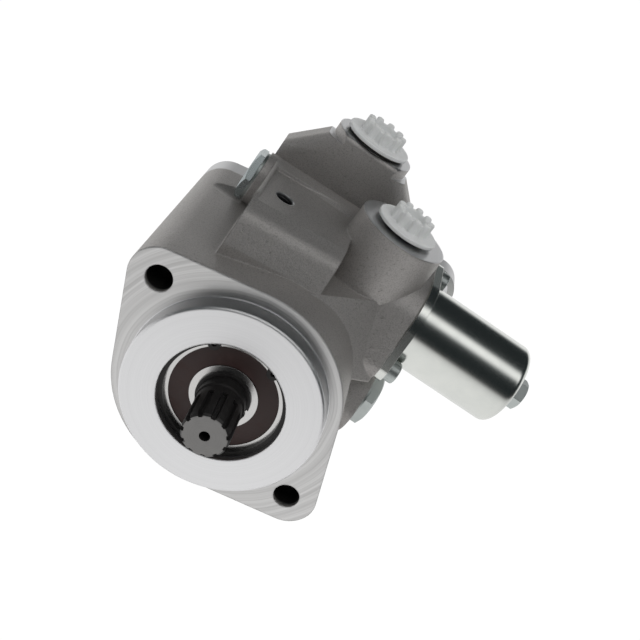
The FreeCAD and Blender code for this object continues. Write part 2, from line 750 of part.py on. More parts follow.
def make_rear_cover():
    body = new_body("rear_cover")
    ears = (("left", "180 - ear_turn", "ear_reach", "ear_radius"),
            ("right", "0 - ear_turn", "ear_reach", "ear_radius"),
            ("bracket", "atan2(bracket_ear_z; bracket_ear_x)",
             "hypot(bracket_ear_x; bracket_ear_z)", "bracket_ear_radius"))
    for name, turn, reach, radius in ears:
        sketch = new_sketch(body, f"ear_{name}", "XZ_Plane", f"0 - {CASTING_BACK}", turn)
        draw_hull(sketch, CASTING_RADIUS, reach, radius)
        pad(body, sketch, "cover_thickness", back=True)
    boss(body, "spigot", "XZ_Plane", f"0 - {CASTING_BACK}", "0", "0",
         "cavity_radius - fit_gap", "spigot_length")
    hole(body, "bush_bore", "XZ_Plane", f"0 - {SPIGOT_FACE}", "0", "0",
         "bush_radius + fit_gap", "bush_length")
    groove = new_sketch(body, "seal_groove", "XZ_Plane", f"0 - {SPIGOT_FACE} - 2")
    draw_circle(groove, "0", "0", "cavity_radius + 1")
    draw_circle(groove, "0", "0", "cavity_radius - cover_seal_section * 2 - fit_gap * 3")
    cut(body, groove, "cover_seal_section * 2 + fit_gap * 4")
    for name, turn, reach, radius in ears:
        sketch = new_sketch(body, f"ear_hole_{name}", "XZ_Plane", f"0 - {CASTING_BACK}", turn)
        draw_circle(sketch, reach, "0",
                    "bracket_hole_radius" if name == "bracket" else "ear_hole_radius")
        cut(body, sketch, "cover_thickness")
    for i in range(SIZES["cover_bolt_count"]):
        sketch = new_sketch(body, f"bolt_hole_{i}", "XZ_Plane", f"0 - {CASTING_BACK}",
                            f"360 / cover_bolt_count * {i}")
        draw_circle(sketch, COVER_BOLT_CIRCLE, "0", "cover_bolt_radius + fit_gap * 4")
        cut(body, sketch, "cover_thickness")
    return body


def make_cover_bolts():
    body = new_body("rear_cover_bolts", "Y")
    shank = new_sketch(body, "shank", "XY_Plane", COVER_BACK)
    draw_circle(shank, COVER_BOLT_CIRCLE, "0", "cover_bolt_radius")
    shank_pad = pad(body, shank, "cover_thickness + cover_bolt_grip", back=True)
    head = new_sketch(body, "head", "XY_Plane", COVER_BACK)
    draw_circle(head, COVER_BOLT_CIRCLE, "0", "cover_bolt_head_radius")
    head_pad = pad(body, head, "cover_bolt_head_height")
    socket = new_sketch(body, "socket", "XY_Plane", f"{COVER_BACK} + cover_bolt_head_height")
    draw_outline(socket, [(f"{COVER_BOLT_CIRCLE} + {x}", y) for x, y in
                          hexagon("bolt_socket_flats", 0)])
    socket_cut = cut(body, socket, "cover_bolt_head_height / 2")
    pattern = ring_of(body, shank_pad, "cover_bolt_count")
    pattern.Originals = [shank_pad, head_pad, socket_cut]
    doc.recompute()
    round_edges(body, "bolt_head_round", lambda edge: (
        near(edge.CenterOfMass.z, f"{COVER_BACK} + cover_bolt_head_height")
        and near(edge.Length, "2 * pi * cover_bolt_head_radius")))
    return body


# Drive bearing

def make_bearing():
    front, back = "bearing_front", BEARING_BACK
    race = "ball_radius + race_gap"
    seat = "(bearing_seal_setback + bearing_seal_thickness + fit_gap)"
    outer = turned("bearing_outer_ring", "Y", ("0", "0", "0"), [
        (f"{SEAL_RIM} + fit_gap", front),
        ("bearing_radius - ring_chamfer", front), ("bearing_radius", f"{front} + ring_chamfer"),
        ("bearing_radius", f"{back} - ring_chamfer"), ("bearing_radius - ring_chamfer", back),
        (f"{SEAL_RIM} + fit_gap", back),
        (f"{SEAL_RIM} + fit_gap", f"{back} - {seat}"),
        (OUTER_LAND, f"{back} - {seat}"), (OUTER_LAND, f"{front} + {seat}"),
        (f"{SEAL_RIM} + fit_gap", f"{front} + {seat}")])
    inner = turned("bearing_inner_ring", "Y", ("0", "0", "0"), [
        ("shaft_radius + fit_gap", f"{front} + ring_chamfer / 2"),
        ("shaft_radius + ring_chamfer / 2 + fit_gap", front),
        (INNER_LAND, front), (INNER_LAND, back),
        ("shaft_radius + ring_chamfer / 2 + fit_gap", back),
        ("shaft_radius + fit_gap", f"{back} - ring_chamfer / 2")])
    for ring in (outer, inner):
        sketch = new_sketch(ring, "race", "XZ_Plane")
        draw_circle(sketch, BALL_PITCH, BEARING_MIDDLE, race)
        revolve(ring, sketch, remove=True)
    for name, low in (
            ("bearing_front_seal", f"({front} + bearing_seal_setback)"),
            ("bearing_rear_seal", f"({back} - bearing_seal_setback - bearing_seal_thickness)")):
        turned(name, "Y", ("0", "0", "0"), tube_outline(
            f"{INNER_LAND} + run_gap", SEAL_RIM, low,
            f"({low} + bearing_seal_thickness)"))
    balls = new_body("bearing_balls", "Y")
    half = new_sketch(balls, "ball", "XZ_Plane", shift=(BALL_PITCH, BEARING_MIDDLE))
    arc = Part.ArcOfCircle(Part.Circle(Vector(), Vector(0, 0, 1), value("ball_radius")),
                           -math.pi / 2, math.pi / 2)
    half.addGeometry(arc, False)
    half.addGeometry(Part.LineSegment(Vector(0, value("ball_radius"), 0),
                                      Vector(0, -value("ball_radius"), 0)), False)
    half.addConstraint(Sketcher.Constraint("Coincident", 0, 2, 1, 1))
    half.addConstraint(Sketcher.Constraint("Coincident", 1, 2, 0, 1))
    half.addConstraint(Sketcher.Constraint("PointOnObject", 0, 1, -2))
    half.addConstraint(Sketcher.Constraint("PointOnObject", 0, 2, -2))
    pin(half, 0, 3, "0", "0")
    size(half, "Radius", 0, "ball_radius")
    ring_of(balls, revolve(balls, half), "ball_count")
    cage = turned("bearing_cage", "Y", ("0", "0", "0"), tube_outline(
        f"{BALL_PITCH} - cage_wall / 2", f"{BALL_PITCH} + cage_wall / 2",
        f"({BEARING_MIDDLE} - cage_width / 2)", f"({BEARING_MIDDLE} + cage_width / 2)"))
    window = new_sketch(cage, "window", "YZ_Plane", f"{BALL_PITCH} - cage_wall")
    draw_circle(window, "0", BEARING_MIDDLE, "ball_radius + run_gap")
    ring_of(cage, cut(cage, window, "cage_wall * 2", back=True), "ball_count")


def make_circlip():
    """Internal circlip that holds the bearing, with its two pierced lugs."""
    body = new_body("bearing_circlip", "Y")
    outer = "(bearing_radius + circlip_depth)"
    back = "(bearing_front - fit_gap)"
    far = "(bearing_radius * 1.5)"
    sketch = new_sketch(body, "ring", "XY_Plane", back)
    draw_circle(sketch, "0", "0", outer)
    draw_circle(sketch, "0", "0", f"{outer} - circlip_width")
    pad(body, sketch, "circlip_thickness", back=True)
    opening = new_sketch(body, "opening", "XY_Plane", back, "0 - circlip_gap_middle")
    draw_outline(opening, [
        ("bearing_radius / 2", "0"),
        (f"{far} * {cos('circlip_half_gap')}", f"{far} * {sin('circlip_half_gap')}"),
        (f"{far} * 2", "0"),
        (f"{far} * {cos('circlip_half_gap')}", f"0 - {far} * {sin('circlip_half_gap')}")])
    cut(body, opening, "circlip_thickness", back=False)
    for way, side in ((1, "left"), (-1, "right")):
        turn = f"0 - circlip_gap_middle + {way} * (circlip_half_gap + circlip_lug_turn)"
        lug = new_sketch(body, f"lug_{side}", "XY_Plane", back, turn)
        draw_circle(lug, "bearing_radius - circlip_lug_inset", "0", "circlip_lug_radius")
        pad(body, lug, "circlip_thickness", back=True)
        eye = new_sketch(body, f"eye_{side}", "XY_Plane", back, turn)
        draw_circle(eye, "bearing_radius - circlip_lug_inset", "0", "circlip_lug_hole")
        cut(body, eye, "circlip_thickness")
    return body


def make_shaft_seal():
    front, back = "seal_front", SEAL_BACK
    lip = "(shaft_radius + run_gap)"
    turned("shaft_seal", "Y", ("0", "0", "0"), [
        ("seal_radius", front), ("seal_radius", back),
        ("seal_radius - seal_case_wall", back),
        ("seal_radius - seal_case_wall", f"{front} + seal_case_wall * 1.5"),
        (f"{lip} + seal_case_wall * 2", f"{front} + seal_case_wall * 1.5"),
        (f"{lip} + seal_case_wall * 1.6", f"{back} - seal_case_wall"),
        (f"{lip} + seal_case_wall * 0.4", f"{back} - seal_case_wall"),
        (lip, f"{front} + seal_width / 2"), (f"{lip} + seal_case_wall", front)])


# Drive shaft and pumping group

def make_shaft():
    start, end = "spline_tip_y", f"({SPIGOT_FACE} + bush_length - 1)"
    seat_front = "(bearing_front - fit_gap - snap_ring_thickness - fit_gap)"
    body = turned("drive_shaft", "Y", ("0", "0", "0"), [
        ("0", start), ("spline_radius - spline_chamfer", start),
        ("spline_radius", f"{start} + spline_chamfer"), ("spline_radius", "spline_root_y + 4"),
        ("shaft_radius", "spline_root_y + 4 + (shaft_radius - spline_radius) * 2"),
        ("shaft_radius", seat_front), ("shaft_radius - snap_ring_depth", seat_front),
        ("shaft_radius - snap_ring_depth", "bearing_front - fit_gap"),
        ("shaft_radius", "bearing_front - fit_gap"), ("shaft_radius", BEARING_BACK),
        ("shoulder_radius", BEARING_BACK), ("shoulder_radius", f"{BEARING_BACK} + shoulder_width"),
        ("shaft_radius", f"{BEARING_BACK} + shoulder_width"), ("shaft_radius", SIDE_PLATE_BACK),
        ("drive_root_radius", SIDE_PLATE_BACK), ("drive_root_radius", CAM_BACK),
        ("journal_radius", CAM_BACK), ("journal_radius", end), ("0", end)])
    # A gap between two teeth of the drive spline narrows towards its floor
    gap = new_sketch(body, "spline_gap", "XY_Plane", start)
    draw_outline(gap, [
        ("spline_root_radius", "0 - spline_gap_floor / 2"),
        ("spline_radius + 1", "0 - spline_gap_width / 2 - spline_gap_floor / 4"),
        ("spline_radius + 1", "spline_gap_width / 2 + spline_gap_floor / 4"),
        ("spline_root_radius", "spline_gap_floor / 2")])
    gap_cut = cut(body, gap, "spline_root_y - spline_tip_y", back=True)
    ring_of(body, gap_cut, "spline_teeth")
    tooth = new_sketch(body, "drive_tooth", "XY_Plane", SIDE_PLATE_BACK)
    draw_outline(tooth, [
        ("drive_root_radius - 2", "0 - drive_tooth_width / 2"),
        ("drive_tip_radius", "0 - drive_tooth_width / 2"),
        ("drive_tip_radius", "drive_tooth_width / 2"),
        ("drive_root_radius - 2", "drive_tooth_width / 2")])
    ring_of(body, pad(body, tooth, "cam_width"), "drive_tooth_count")
    hole(body, "centre_hole", "XY_Plane", start, "0", "0", "centre_hole_radius",
         "centre_hole_depth", back=True)
    return body


def make_snap_ring():
    back = "(bearing_front - fit_gap)"
    body = new_body("shaft_snap_ring", "Y")
    sketch = new_sketch(body, "ring", "XY_Plane", back)
    draw_circle(sketch, "0", "0", "shaft_radius + snap_ring_reach")
    draw_circle(sketch, "0", "0", "shaft_radius - snap_ring_depth + fit_gap")
    pad(body, sketch, "snap_ring_thickness", back=True)
    gap = new_sketch(body, "gap", "XY_Plane", back)
    draw_outline(gap, [("5", "-1.5"), ("15", "-1.5"), ("15", "1.5"), ("5", "1.5")])
    cut(body, gap, "snap_ring_thickness")


def cut_dowel_holes(body, mouth, depth):
    sketch = new_sketch(body, "dowel_hole", "XY_Plane", mouth)
    draw_circle(sketch, DOWEL_CIRCLE, "0", "dowel_radius + fit_gap")
    return ring_of(body, cut(body, sketch, depth, back=True), "2")


def cut_kidneys(body, mouth, back):
    """Four kidney ports in a plate's face, two for suction and two for pressure."""
    sketch = new_sketch(body, "kidney", "XY_Plane", mouth, "45")
    inner = "(kidney_radius - kidney_half_width)"
    outer = "(kidney_radius + kidney_half_width)"
    sweep = "kidney_half_sweep"
    middle_out, middle_in = f"{outer} / {cos(sweep + ' / 2')}", f"{inner}"
    draw_outline(sketch, [
        (f"{inner} * {cos(sweep)}", f"0 - {inner} * {sin(sweep)}"),
        (f"{outer} * {cos(sweep)}", f"0 - {outer} * {sin(sweep)}"),
        (middle_out, f"0 - {outer} * {sin(sweep + ' / 2')} / 2"),
        (middle_out, f"{outer} * {sin(sweep + ' / 2')} / 2"),
        (f"{outer} * {cos(sweep)}", f"{outer} * {sin(sweep)}"),
        (f"{inner} * {cos(sweep)}", f"{inner} * {sin(sweep)}"),
        (middle_in, "0")])
    ring_of(body, cut(body, sketch, "kidney_depth", back=back), "4")


def make_pump_group():
    side = turned("front_side_plate", "Y", ("0", "0", "0"), tube_outline(
        "plate_hole_radius", "cavity_radius - fit_gap", "(cavity_front + fit_gap)",
        f"({SIDE_PLATE_BACK} - fit_gap)", "ring_chamfer"))
    cut_dowel_holes(side, f"{SIDE_PLATE_BACK} - dowel_end_margin - 1", "dowel_end_margin + 1")
    cut_kidneys(side, f"{SIDE_PLATE_BACK} - fit_gap", False)
    plate = turned("pressure_plate", "Y", ("0", "0", "0"), tube_outline(
        "plate_hole_radius", "cavity_radius - fit_gap", f"({CAM_BACK} + fit_gap)",
        PLATE_BACK, "ring_chamfer"))
    cut_dowel_holes(plate, f"{CAM_BACK} + fit_gap", "dowel_end_margin + 1")
    cut_kidneys(plate, f"{CAM_BACK} + fit_gap", True)
    seal_place = f"({CAM_BACK} + pressure_plate_thickness / 2)"
    groove = new_sketch(plate, "seal_groove", "XY_Plane",
                        f"{seal_place} - plate_seal_section - fit_gap * 2")
    draw_circle(groove, "0", "0", "cavity_radius + 1")
    draw_circle(groove, "0", "0", "cavity_radius - plate_seal_section * 2 - fit_gap * 3")
    cut(plate, groove, "plate_seal_section * 2 + fit_gap * 4", back=True)
    ring_of_wire("pressure_plate_seal", "Y", ("0", "0", "0"),
                 "cavity_radius - plate_seal_section - fit_gap", seal_place, "plate_seal_section")
    pins = new_body("dowel_pins", "Y")
    sketch = new_sketch(pins, "dowel", "XY_Plane", f"{SIDE_PLATE_BACK} - dowel_end_margin")
    draw_circle(sketch, DOWEL_CIRCLE, "0", "dowel_radius")
    ring_of(pins, pad(pins, sketch, "cam_width + dowel_end_margin * 2"), "2")
    foot = PLATE_BACK
    rise = "disc_spring_height - disc_spring_wall"
    turned("pressure_plate_spring", "Y", ("0", "0", "0"), [
        ("disc_spring_outer", foot), ("disc_spring_outer", f"{foot} + disc_spring_wall"),
        ("disc_spring_inner", f"{foot} + {rise} + disc_spring_wall"),
        ("disc_spring_inner", f"{foot} + {rise}")])


def make_cam_ring():
    """Cam ring: an oval bore through a round ring, with two dowel holes."""
    def primitive(kind, name, place, **sizes):
        item = doc.addObject(kind, name)
        item.Placement = Placement(Vector(), ALONG["Y"])
        tie(item, "Placement.Base.y", place)
        for word, text in sizes.items():
            tie(item, word, text)
        return item
    front = f"{SIDE_PLATE_BACK}"
    blank = primitive("Part::Cylinder", "cam_blank", front,
                      Radius="cavity_radius - fit_gap", Height="cam_width")
    oval = primitive("Part::Ellipse", "cam_oval", front,
                     MajorRadius="cam_major_radius", MinorRadius="cam_minor_radius")
    core = doc.addObject("Part::Extrusion", "cam_core")
    core.Base = oval
    core.DirMode = "Custom"
    core.Dir = Vector(0, 1, 0)
    core.Solid = True
    tie(core, "LengthFwd", "cam_width")
    dowels = []
    for way in (1, -1):
        dowel = primitive("Part::Cylinder", f"cam_dowel_{len(dowels)}", front,
                          Radius="dowel_radius + fit_gap", Height="cam_width")
        tie(dowel, "Placement.Base.x", f"{way} * {DOWEL_CIRCLE}")
        dowels.append(dowel)
    tools = doc.addObject("Part::MultiFuse", "cam_tools")
    tools.Shapes = [core] + dowels
    ring = doc.addObject("Part::Cut", "cam_ring")
    ring.Base = blank
    ring.Tool = tools
    ring.Label = "cam_ring"
    nodes.append(ring)
    doc.recompute()


def make_rotor():
    front = f"({SIDE_PLATE_BACK} + run_gap)"
    width = "(cam_width - run_gap * 2)"
    body = turned("rotor", "Y", ("0", "0", "0"), tube_outline(
        "drive_root_radius + fit_gap", "rotor_radius", front, f"({front} + {width})"))
    slot = new_sketch(body, "drive_slot", "XY_Plane", front)
    half = "(drive_tooth_width / 2 + fit_gap)"
    draw_outline(slot, [
        ("drive_root_radius - 2", f"0 - {half}"), ("drive_tip_radius + fit_gap", f"0 - {half}"),
        ("drive_tip_radius + fit_gap", half), ("drive_root_radius - 2", half)])
    ring_of(body, cut(body, slot, width, back=True), "drive_tooth_count")
    vane_foot = "vane_tip_radius - vane_length"
    vane_slot = new_sketch(body, "vane_slot", "XY_Plane", front)
    half = "(vane_thickness / 2 + fit_gap)"
    draw_outline(vane_slot, [
        (f"{vane_foot} - fit_gap", f"0 - {half}"), ("rotor_radius + 1", f"0 - {half}"),
        ("rotor_radius + 1", half), (f"{vane_foot} - fit_gap", half)])
    ring_of(body, cut(body, vane_slot, width, back=True), "vane_count")
    vanes = new_body("vanes", "Y")
    sketch = new_sketch(vanes, "vane", "XY_Plane", front)
    draw_outline(sketch, [
        (vane_foot, "0 - vane_thickness / 2"),
        ("vane_tip_radius - vane_thickness / 3", "0 - vane_thickness / 2"),
        ("vane_tip_radius", "0 - vane_thickness / 6"), ("vane_tip_radius", "vane_thickness / 6"),
        ("vane_tip_radius - vane_thickness / 3", "vane_thickness / 2"),
        (vane_foot, "vane_thickness / 2")])
    ring_of(vanes, pad(vanes, sketch, width), "vane_count")


# Springs

def make_coil(name, along, centre, radius, wire, start, length, turns):
    """A compression spring of round wire, lying along its body's Z axis."""
    body = new_body(name, along, centre)
    sketch = new_sketch(body, "wire", "XZ_Plane")
    draw_circle(sketch, radius, f"({start} + {wire})", wire)
    coil = body.newObject("PartDesign::AdditiveHelix", f"{name}_coil")
    coil.Profile = sketch
    coil.ReferenceAxis = (sketch, ["V_Axis"])
    coil.Mode = "height-turns-growth"
    tie(coil, "Height", f"{length} - {wire} * 2")
    tie(coil, "Turns", turns)
    doc.recompute()
    return body


# Flow control valve

def make_flow_valve():
    centre = ("0", "valve_y", "valve_z")
    shank_end = "(valve_boss_left + valve_plug_shank)"
    spool_end = "(valve_bore_end - fit_gap * 6)"
    spool_start = f"({spool_end} - spool_length)"
    spool_radius = "(valve_bore_radius - run_gap)"
    groove = f"({spool_radius} - spool_groove_depth)"
    turned("valve_spool", "X", centre, [
        ("spool_pocket_radius", spool_start), (spool_radius, spool_start),
        (spool_radius, f"{spool_start} + spool_pocket_depth"),
        (groove, f"{spool_start} + spool_pocket_depth"),
        (groove, f"{spool_end} - spool_land - 2"), (spool_radius, f"{spool_end} - spool_land - 2"),
        (spool_radius, f"{spool_end} - 2"), (groove, f"{spool_end} - 2"), (groove, spool_end),
        ("0", spool_end), ("0", f"{spool_start} + spool_pocket_depth - 1"),
        ("spool_pocket_radius", f"{spool_start} + spool_pocket_depth - 1")])
    turned("valve_plug_washer", "X", centre, tube_outline(
        "valve_bore_radius", "valve_washer_radius", PLUG_FACE, "valve_boss_left"))
    plug = turned("valve_plug", "X", centre, [
        ("0", f"{PLUG_FACE} - valve_plug_head / 2"),
        ("valve_bore_radius - fit_gap", f"{PLUG_FACE} - valve_plug_head / 2"),
        ("valve_bore_radius - fit_gap", shank_end), ("0", shank_end)])
    hex_head(plug, "head", "valve_plug_flats", PLUG_FACE, "valve_plug_head",
             "valve_plug_turn", back=True)
    make_coil("valve_spring", "X", centre, "spool_spring_radius", "spool_spring_wire",
              f"({shank_end} + fit_gap)",
              f"({spool_start} + spool_pocket_depth - 1 - {shank_end} - fit_gap * 2)",
              "spool_spring_turns")


# Regulating piston and its spring can

def make_regulator():
    centre = ("0", "can_y", "can_z")
    piston_start = f"({PAD_FACE} - piston_bore_depth + fit_gap * 6)"
    piston_end = f"({piston_start} + piston_length)"
    piston_radius = "(piston_bore_radius - run_gap)"
    seat_end = f"({piston_end} + fit_gap + spring_seat_thickness)"
    screw_end = f"({CAN_END} - can_wall - adjuster_inside)"
    turned("regulating_piston", "X", centre, [
        (f"{piston_radius} - piston_wall", piston_start), (piston_radius, piston_start),
        (piston_radius, piston_end), ("0", piston_end),
        ("0", f"{piston_end} - piston_wall"),
        (f"{piston_radius} - piston_wall", f"{piston_end} - piston_wall")])
    for name, foot, way in (("piston_spring_seat", f"{piston_end} + fit_gap", 1),
                            ("adjuster_spring_seat", f"{screw_end} - fit_gap", -1)):
        face = f"({foot} + {way} * spring_seat_thickness)"
        stub = "(can_spring_radius - can_spring_wire * 2)"
        turned(name, "X", centre, [
            ("0", f"({foot})"), ("spring_seat_radius", f"({foot})"), ("spring_seat_radius", face),
            (stub, face), (stub, f"{face} + {way} * spring_seat_stub"),
            ("0", f"{face} + {way} * spring_seat_stub")])
    make_coil("regulating_spring", "X", centre, "can_spring_radius", "can_spring_wire",
              f"({seat_end} + fit_gap)",
              f"({screw_end} - spring_seat_thickness - {seat_end} - fit_gap * 3)",
              "can_spring_turns")
    inner = "(can_radius - can_wall)"
    can = turned("spring_can", "X", centre, [
        (inner, PLATE_FACE), ("can_radius", PLATE_FACE), ("can_radius", CAN_END),
        ("adjuster_radius + fit_gap", CAN_END),
        ("adjuster_radius + fit_gap", f"{CAN_END} - can_wall"), (inner, f"{CAN_END} - can_wall")])
    round_edges(can, "can_round", lambda edge: (
        near(edge.CenterOfMass.z, CAN_END) and near(edge.Length, "2 * pi * can_radius")))
    round_edges(can, "can_round - can_wall", lambda edge: (
        near(edge.CenterOfMass.z, f"{CAN_END} - can_wall")
        and near(edge.Length, f"2 * pi * {inner}")))
    plate = new_body("can_plate")
    for way, turn in (("upper", "can_bolt_turn"), ("lower", "can_bolt_turn + 180")):
        sketch = new_sketch(plate, f"outline_{way}", "YZ_Plane", PAD_FACE, turn,
                            shift=("can_y", "can_z"))
        draw_hull(sketch, "plate_waist_radius", CAN_BOLT_REACH, "plate_end_radius")
        pad(plate, sketch, "plate_thickness")
    hole(plate, "piston_hole", "YZ_Plane", PLATE_FACE, "can_y", "can_z",
         "plate_hole_radius_can", "plate_thickness")
    for i, (y, z) in enumerate(CAN_BOLTS):
        hole(plate, f"bolt_hole_{i}", "YZ_Plane", PLATE_FACE, y, z,
             "can_bolt_radius + fit_gap * 4", "plate_thickness")
    bolts = new_body("can_bolts")
    for i, (y, z) in enumerate(CAN_BOLTS):
        boss(bolts, f"shank_{i}", "YZ_Plane", PLATE_FACE, y, z, "can_bolt_radius",
             "can_bolt_grip", back=True)
        boss(bolts, f"head_{i}", "YZ_Plane", PLATE_FACE, y, z, "can_bolt_head_radius",
             "can_bolt_head_height")
        socket = new_sketch(bolts, f"socket_{i}", "YZ_Plane",
                            f"{PLATE_FACE} + can_bolt_head_height")
        draw_outline(socket, [(f"{y} + {a}", f"{z} + {b}") for a, b in
                              hexagon("bolt_socket_flats", 0)])
        cut(bolts, socket, "can_bolt_head_height / 2")
    round_edges(bolts, "bolt_head_round", lambda edge: (
        near(edge.CenterOfMass.x, f"{PLATE_FACE} + can_bolt_head_height")
        and near(edge.Length, "2 * pi * can_bolt_head_radius")))
    ring_of_wire("can_seal", "X", centre, "can_seal_radius", f"{PAD_FACE} - can_seal_section",
                 "can_seal_section")
    turned("adjuster_washer", "X", centre, tube_outline(
        "adjuster_radius + fit_gap", "adjuster_washer_radius", CAN_END,
        f"({CAN_END} + adjuster_washer_thickness)"))
    head_face = f"({CAN_END} + adjuster_washer_thickness)"
    screw = turned("adjuster_screw", "X", centre, [
        ("0", screw_end), ("adjuster_radius", screw_end),
        ("adjuster_radius", f"{head_face} + adjuster_head / 2"),
        ("0", f"{head_face} + adjuster_head / 2")])
    hex_head(screw, "head", "adjuster_flats", head_face, "adjuster_head", "adjuster_turn")


# Side plug

def make_side_plug():
    centre = ("0", "side_y", "side_z")
    floor = f"({SIDE_BOSS_END} - side_bore_depth + fit_gap * 20)"
    turned("side_plug_washer", "X", centre, tube_outline(
        "side_bore_radius", "side_washer_radius", f"{SIDE_BOSS_END}", SIDE_FACE))
    plug = turned("side_plug", "X", centre, [
        ("0", floor), ("side_bore_radius - fit_gap", floor),
        ("side_bore_radius - fit_gap", f"{SIDE_FACE} + side_plug_head / 2"),
        ("0", f"{SIDE_FACE} + side_plug_head / 2")])
    hex_head(plug, "head", "side_plug_flats", SIDE_FACE, "side_plug_head", "side_plug_turn")


# Transport plugs in the ports

def make_port_plug(port):
    """A plastic port plug: hollow stem, thin flange and a knob with rounded ribs."""
    centre = (f"{port}_x", f"{port}_y", "0")
    top = f"({port}_top + plug_seal_section * 2)"
    flange_top = f"({top} + plug_flange_thickness)"
    grip_top = f"({flange_top} + plug_grip_height)"
    stem = f"({port}_bore_radius - run_gap)"
    core = f"({port}_grip_radius - plug_rib_radius)"
    floor = f"({port}_top - plug_stem_length)"
    body = turned(f"{port}_plug", "Z", centre, [
        (f"{stem} - plug_stem_wall", floor), (stem, floor), (stem, top),
        (f"{port}_plug_radius", top), (f"{port}_plug_radius", flange_top),
        (core, flange_top), (core, grip_top), (f"{core} - plug_stem_wall", grip_top),
        (f"{core} - plug_stem_wall * 2", f"{grip_top} - plug_dish_depth"),
        ("0", f"{grip_top} - plug_dish_depth"), ("0", f"{flange_top} - plug_stem_wall"),
        (f"{stem} - plug_stem_wall", f"{flange_top} - plug_stem_wall")])
    rib = new_sketch(body, "rib", "XY_Plane", flange_top)
    draw_circle(rib, core, "0", "plug_rib_radius")
    ring_of(body, pad(body, rib, "plug_grip_height - plug_rib_step"), "plug_rib_count")
    ring_of_wire(f"{port}_plug_seal", "Z", centre, f"{port}_bore_radius + plug_seal_section * 2",
                 f"{port}_top + plug_seal_section", "plug_seal_section")


def make_rear_fittings():
    make_rear_cover()
    make_cover_bolts()
    ring_of_wire("rear_cover_seal", "Y", ("0", "0", "0"),
                 "cavity_radius - cover_seal_section - fit_gap",
                 f"{SPIGOT_FACE} + 2 + cover_seal_section + fit_gap * 2", "cover_seal_section")
    turned("rear_bush", "Y", ("0", "0", "0"), tube_outline(
        "journal_radius + run_gap", "bush_radius", SPIGOT_FACE, f"({SPIGOT_FACE} + bush_length)"))


make_housing()
make_rear_fittings()
make_bearing()
make_circlip()
make_snap_ring()
make_shaft_seal()
make_shaft()
make_pump_group()
make_cam_ring()
make_rotor()
make_flow_valve()
make_regulator()
make_side_plug()
make_port_plug("pressure")
make_port_plug("suction")
doc.recompute()

for item in doc.Objects:
    if {"Invalid", "Error"} & set(item.State):
        raise RuntimeError(f"{item.Name} failed: {item.State}")
os.makedirs("parts", exist_ok=True)
for node in nodes:
    shape = node.Shape
    if shape.isNull() or not shape.isValid() or not shape.Solids:
        raise RuntimeError(f"{node.Label} has no valid solid")
for node in nodes:
    node.Shape.exportStep(f"parts/{node.Label}.step")
print(len(nodes), "nodes written")
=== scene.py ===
# %% [markdown]
# # A power steering pump, from its solids to a picture
#
# The solids of the pump are ready: a cast housing, a splined shaft in its bearing, two plugged
# ports and a bright spring can. This lesson dresses them. It sets up a camera and a plain
# studio, paints each finish with nodes, and models what rigid, plain solids leave out: the
# soft-edged plastic caps and a screw thread. Copies of the two springs stand in for their
# solids.

import json
import math

import bpy
from mathutils import Matrix, Vector

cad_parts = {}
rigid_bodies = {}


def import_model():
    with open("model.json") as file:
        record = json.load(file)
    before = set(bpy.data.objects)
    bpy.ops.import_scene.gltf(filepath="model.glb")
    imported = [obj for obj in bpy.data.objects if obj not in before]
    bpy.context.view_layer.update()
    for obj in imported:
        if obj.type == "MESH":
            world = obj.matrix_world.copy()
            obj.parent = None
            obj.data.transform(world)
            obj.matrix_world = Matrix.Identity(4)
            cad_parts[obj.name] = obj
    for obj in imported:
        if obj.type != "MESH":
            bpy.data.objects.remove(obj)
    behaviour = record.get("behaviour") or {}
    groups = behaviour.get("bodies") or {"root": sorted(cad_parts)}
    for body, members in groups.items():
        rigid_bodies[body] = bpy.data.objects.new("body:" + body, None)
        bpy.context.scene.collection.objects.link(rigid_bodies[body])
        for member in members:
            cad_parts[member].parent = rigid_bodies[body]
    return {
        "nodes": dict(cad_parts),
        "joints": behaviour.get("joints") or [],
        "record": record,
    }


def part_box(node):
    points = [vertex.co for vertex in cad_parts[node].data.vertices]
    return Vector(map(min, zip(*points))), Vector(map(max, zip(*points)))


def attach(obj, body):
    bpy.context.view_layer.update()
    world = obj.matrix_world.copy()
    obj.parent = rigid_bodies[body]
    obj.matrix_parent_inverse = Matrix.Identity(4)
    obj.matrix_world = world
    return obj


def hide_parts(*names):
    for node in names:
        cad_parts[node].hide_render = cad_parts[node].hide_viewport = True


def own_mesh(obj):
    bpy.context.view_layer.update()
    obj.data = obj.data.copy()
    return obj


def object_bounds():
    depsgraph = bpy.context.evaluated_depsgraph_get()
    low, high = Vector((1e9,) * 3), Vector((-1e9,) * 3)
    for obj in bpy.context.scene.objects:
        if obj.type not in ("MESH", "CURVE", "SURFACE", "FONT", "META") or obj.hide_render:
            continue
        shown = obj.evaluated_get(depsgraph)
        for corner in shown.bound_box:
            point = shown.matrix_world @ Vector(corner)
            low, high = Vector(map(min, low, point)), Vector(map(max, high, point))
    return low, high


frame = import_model()
SOLIDS = frame["nodes"]
RECORD = frame["record"]
solid_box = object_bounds()
MM = 0.001

# %% [markdown]
# ## Where things are
#
# A finish often depends on a place: a face is bright because a piece is bolted to it. Those
# places come from the record's mounts and from the boxes of the solids, so the paint follows
# the part. They are read in millimetres, which keeps the shader sums below short.

# %% Places in millimetres
MOUNTS = {mount["name"]: mount for mount in RECORD["mounts"]}


def place_of(mount):
    """Where a mount lies, in millimetres."""
    return Vector(MOUNTS[mount]["pos_m"]) / MM


def radius_of(mount):
    """The radius of a round mount, in millimetres."""
    return MOUNTS[mount]["dims"]["r_mm"]


def box_of(node):
    """The lowest and highest corner of a solid, in millimetres."""
    low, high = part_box(node)
    return low / MM, high / MM


def middle_of(node):
    """The middle of a solid's box, in millimetres."""
    low, high = box_of(node)
    return (low + high) / 2


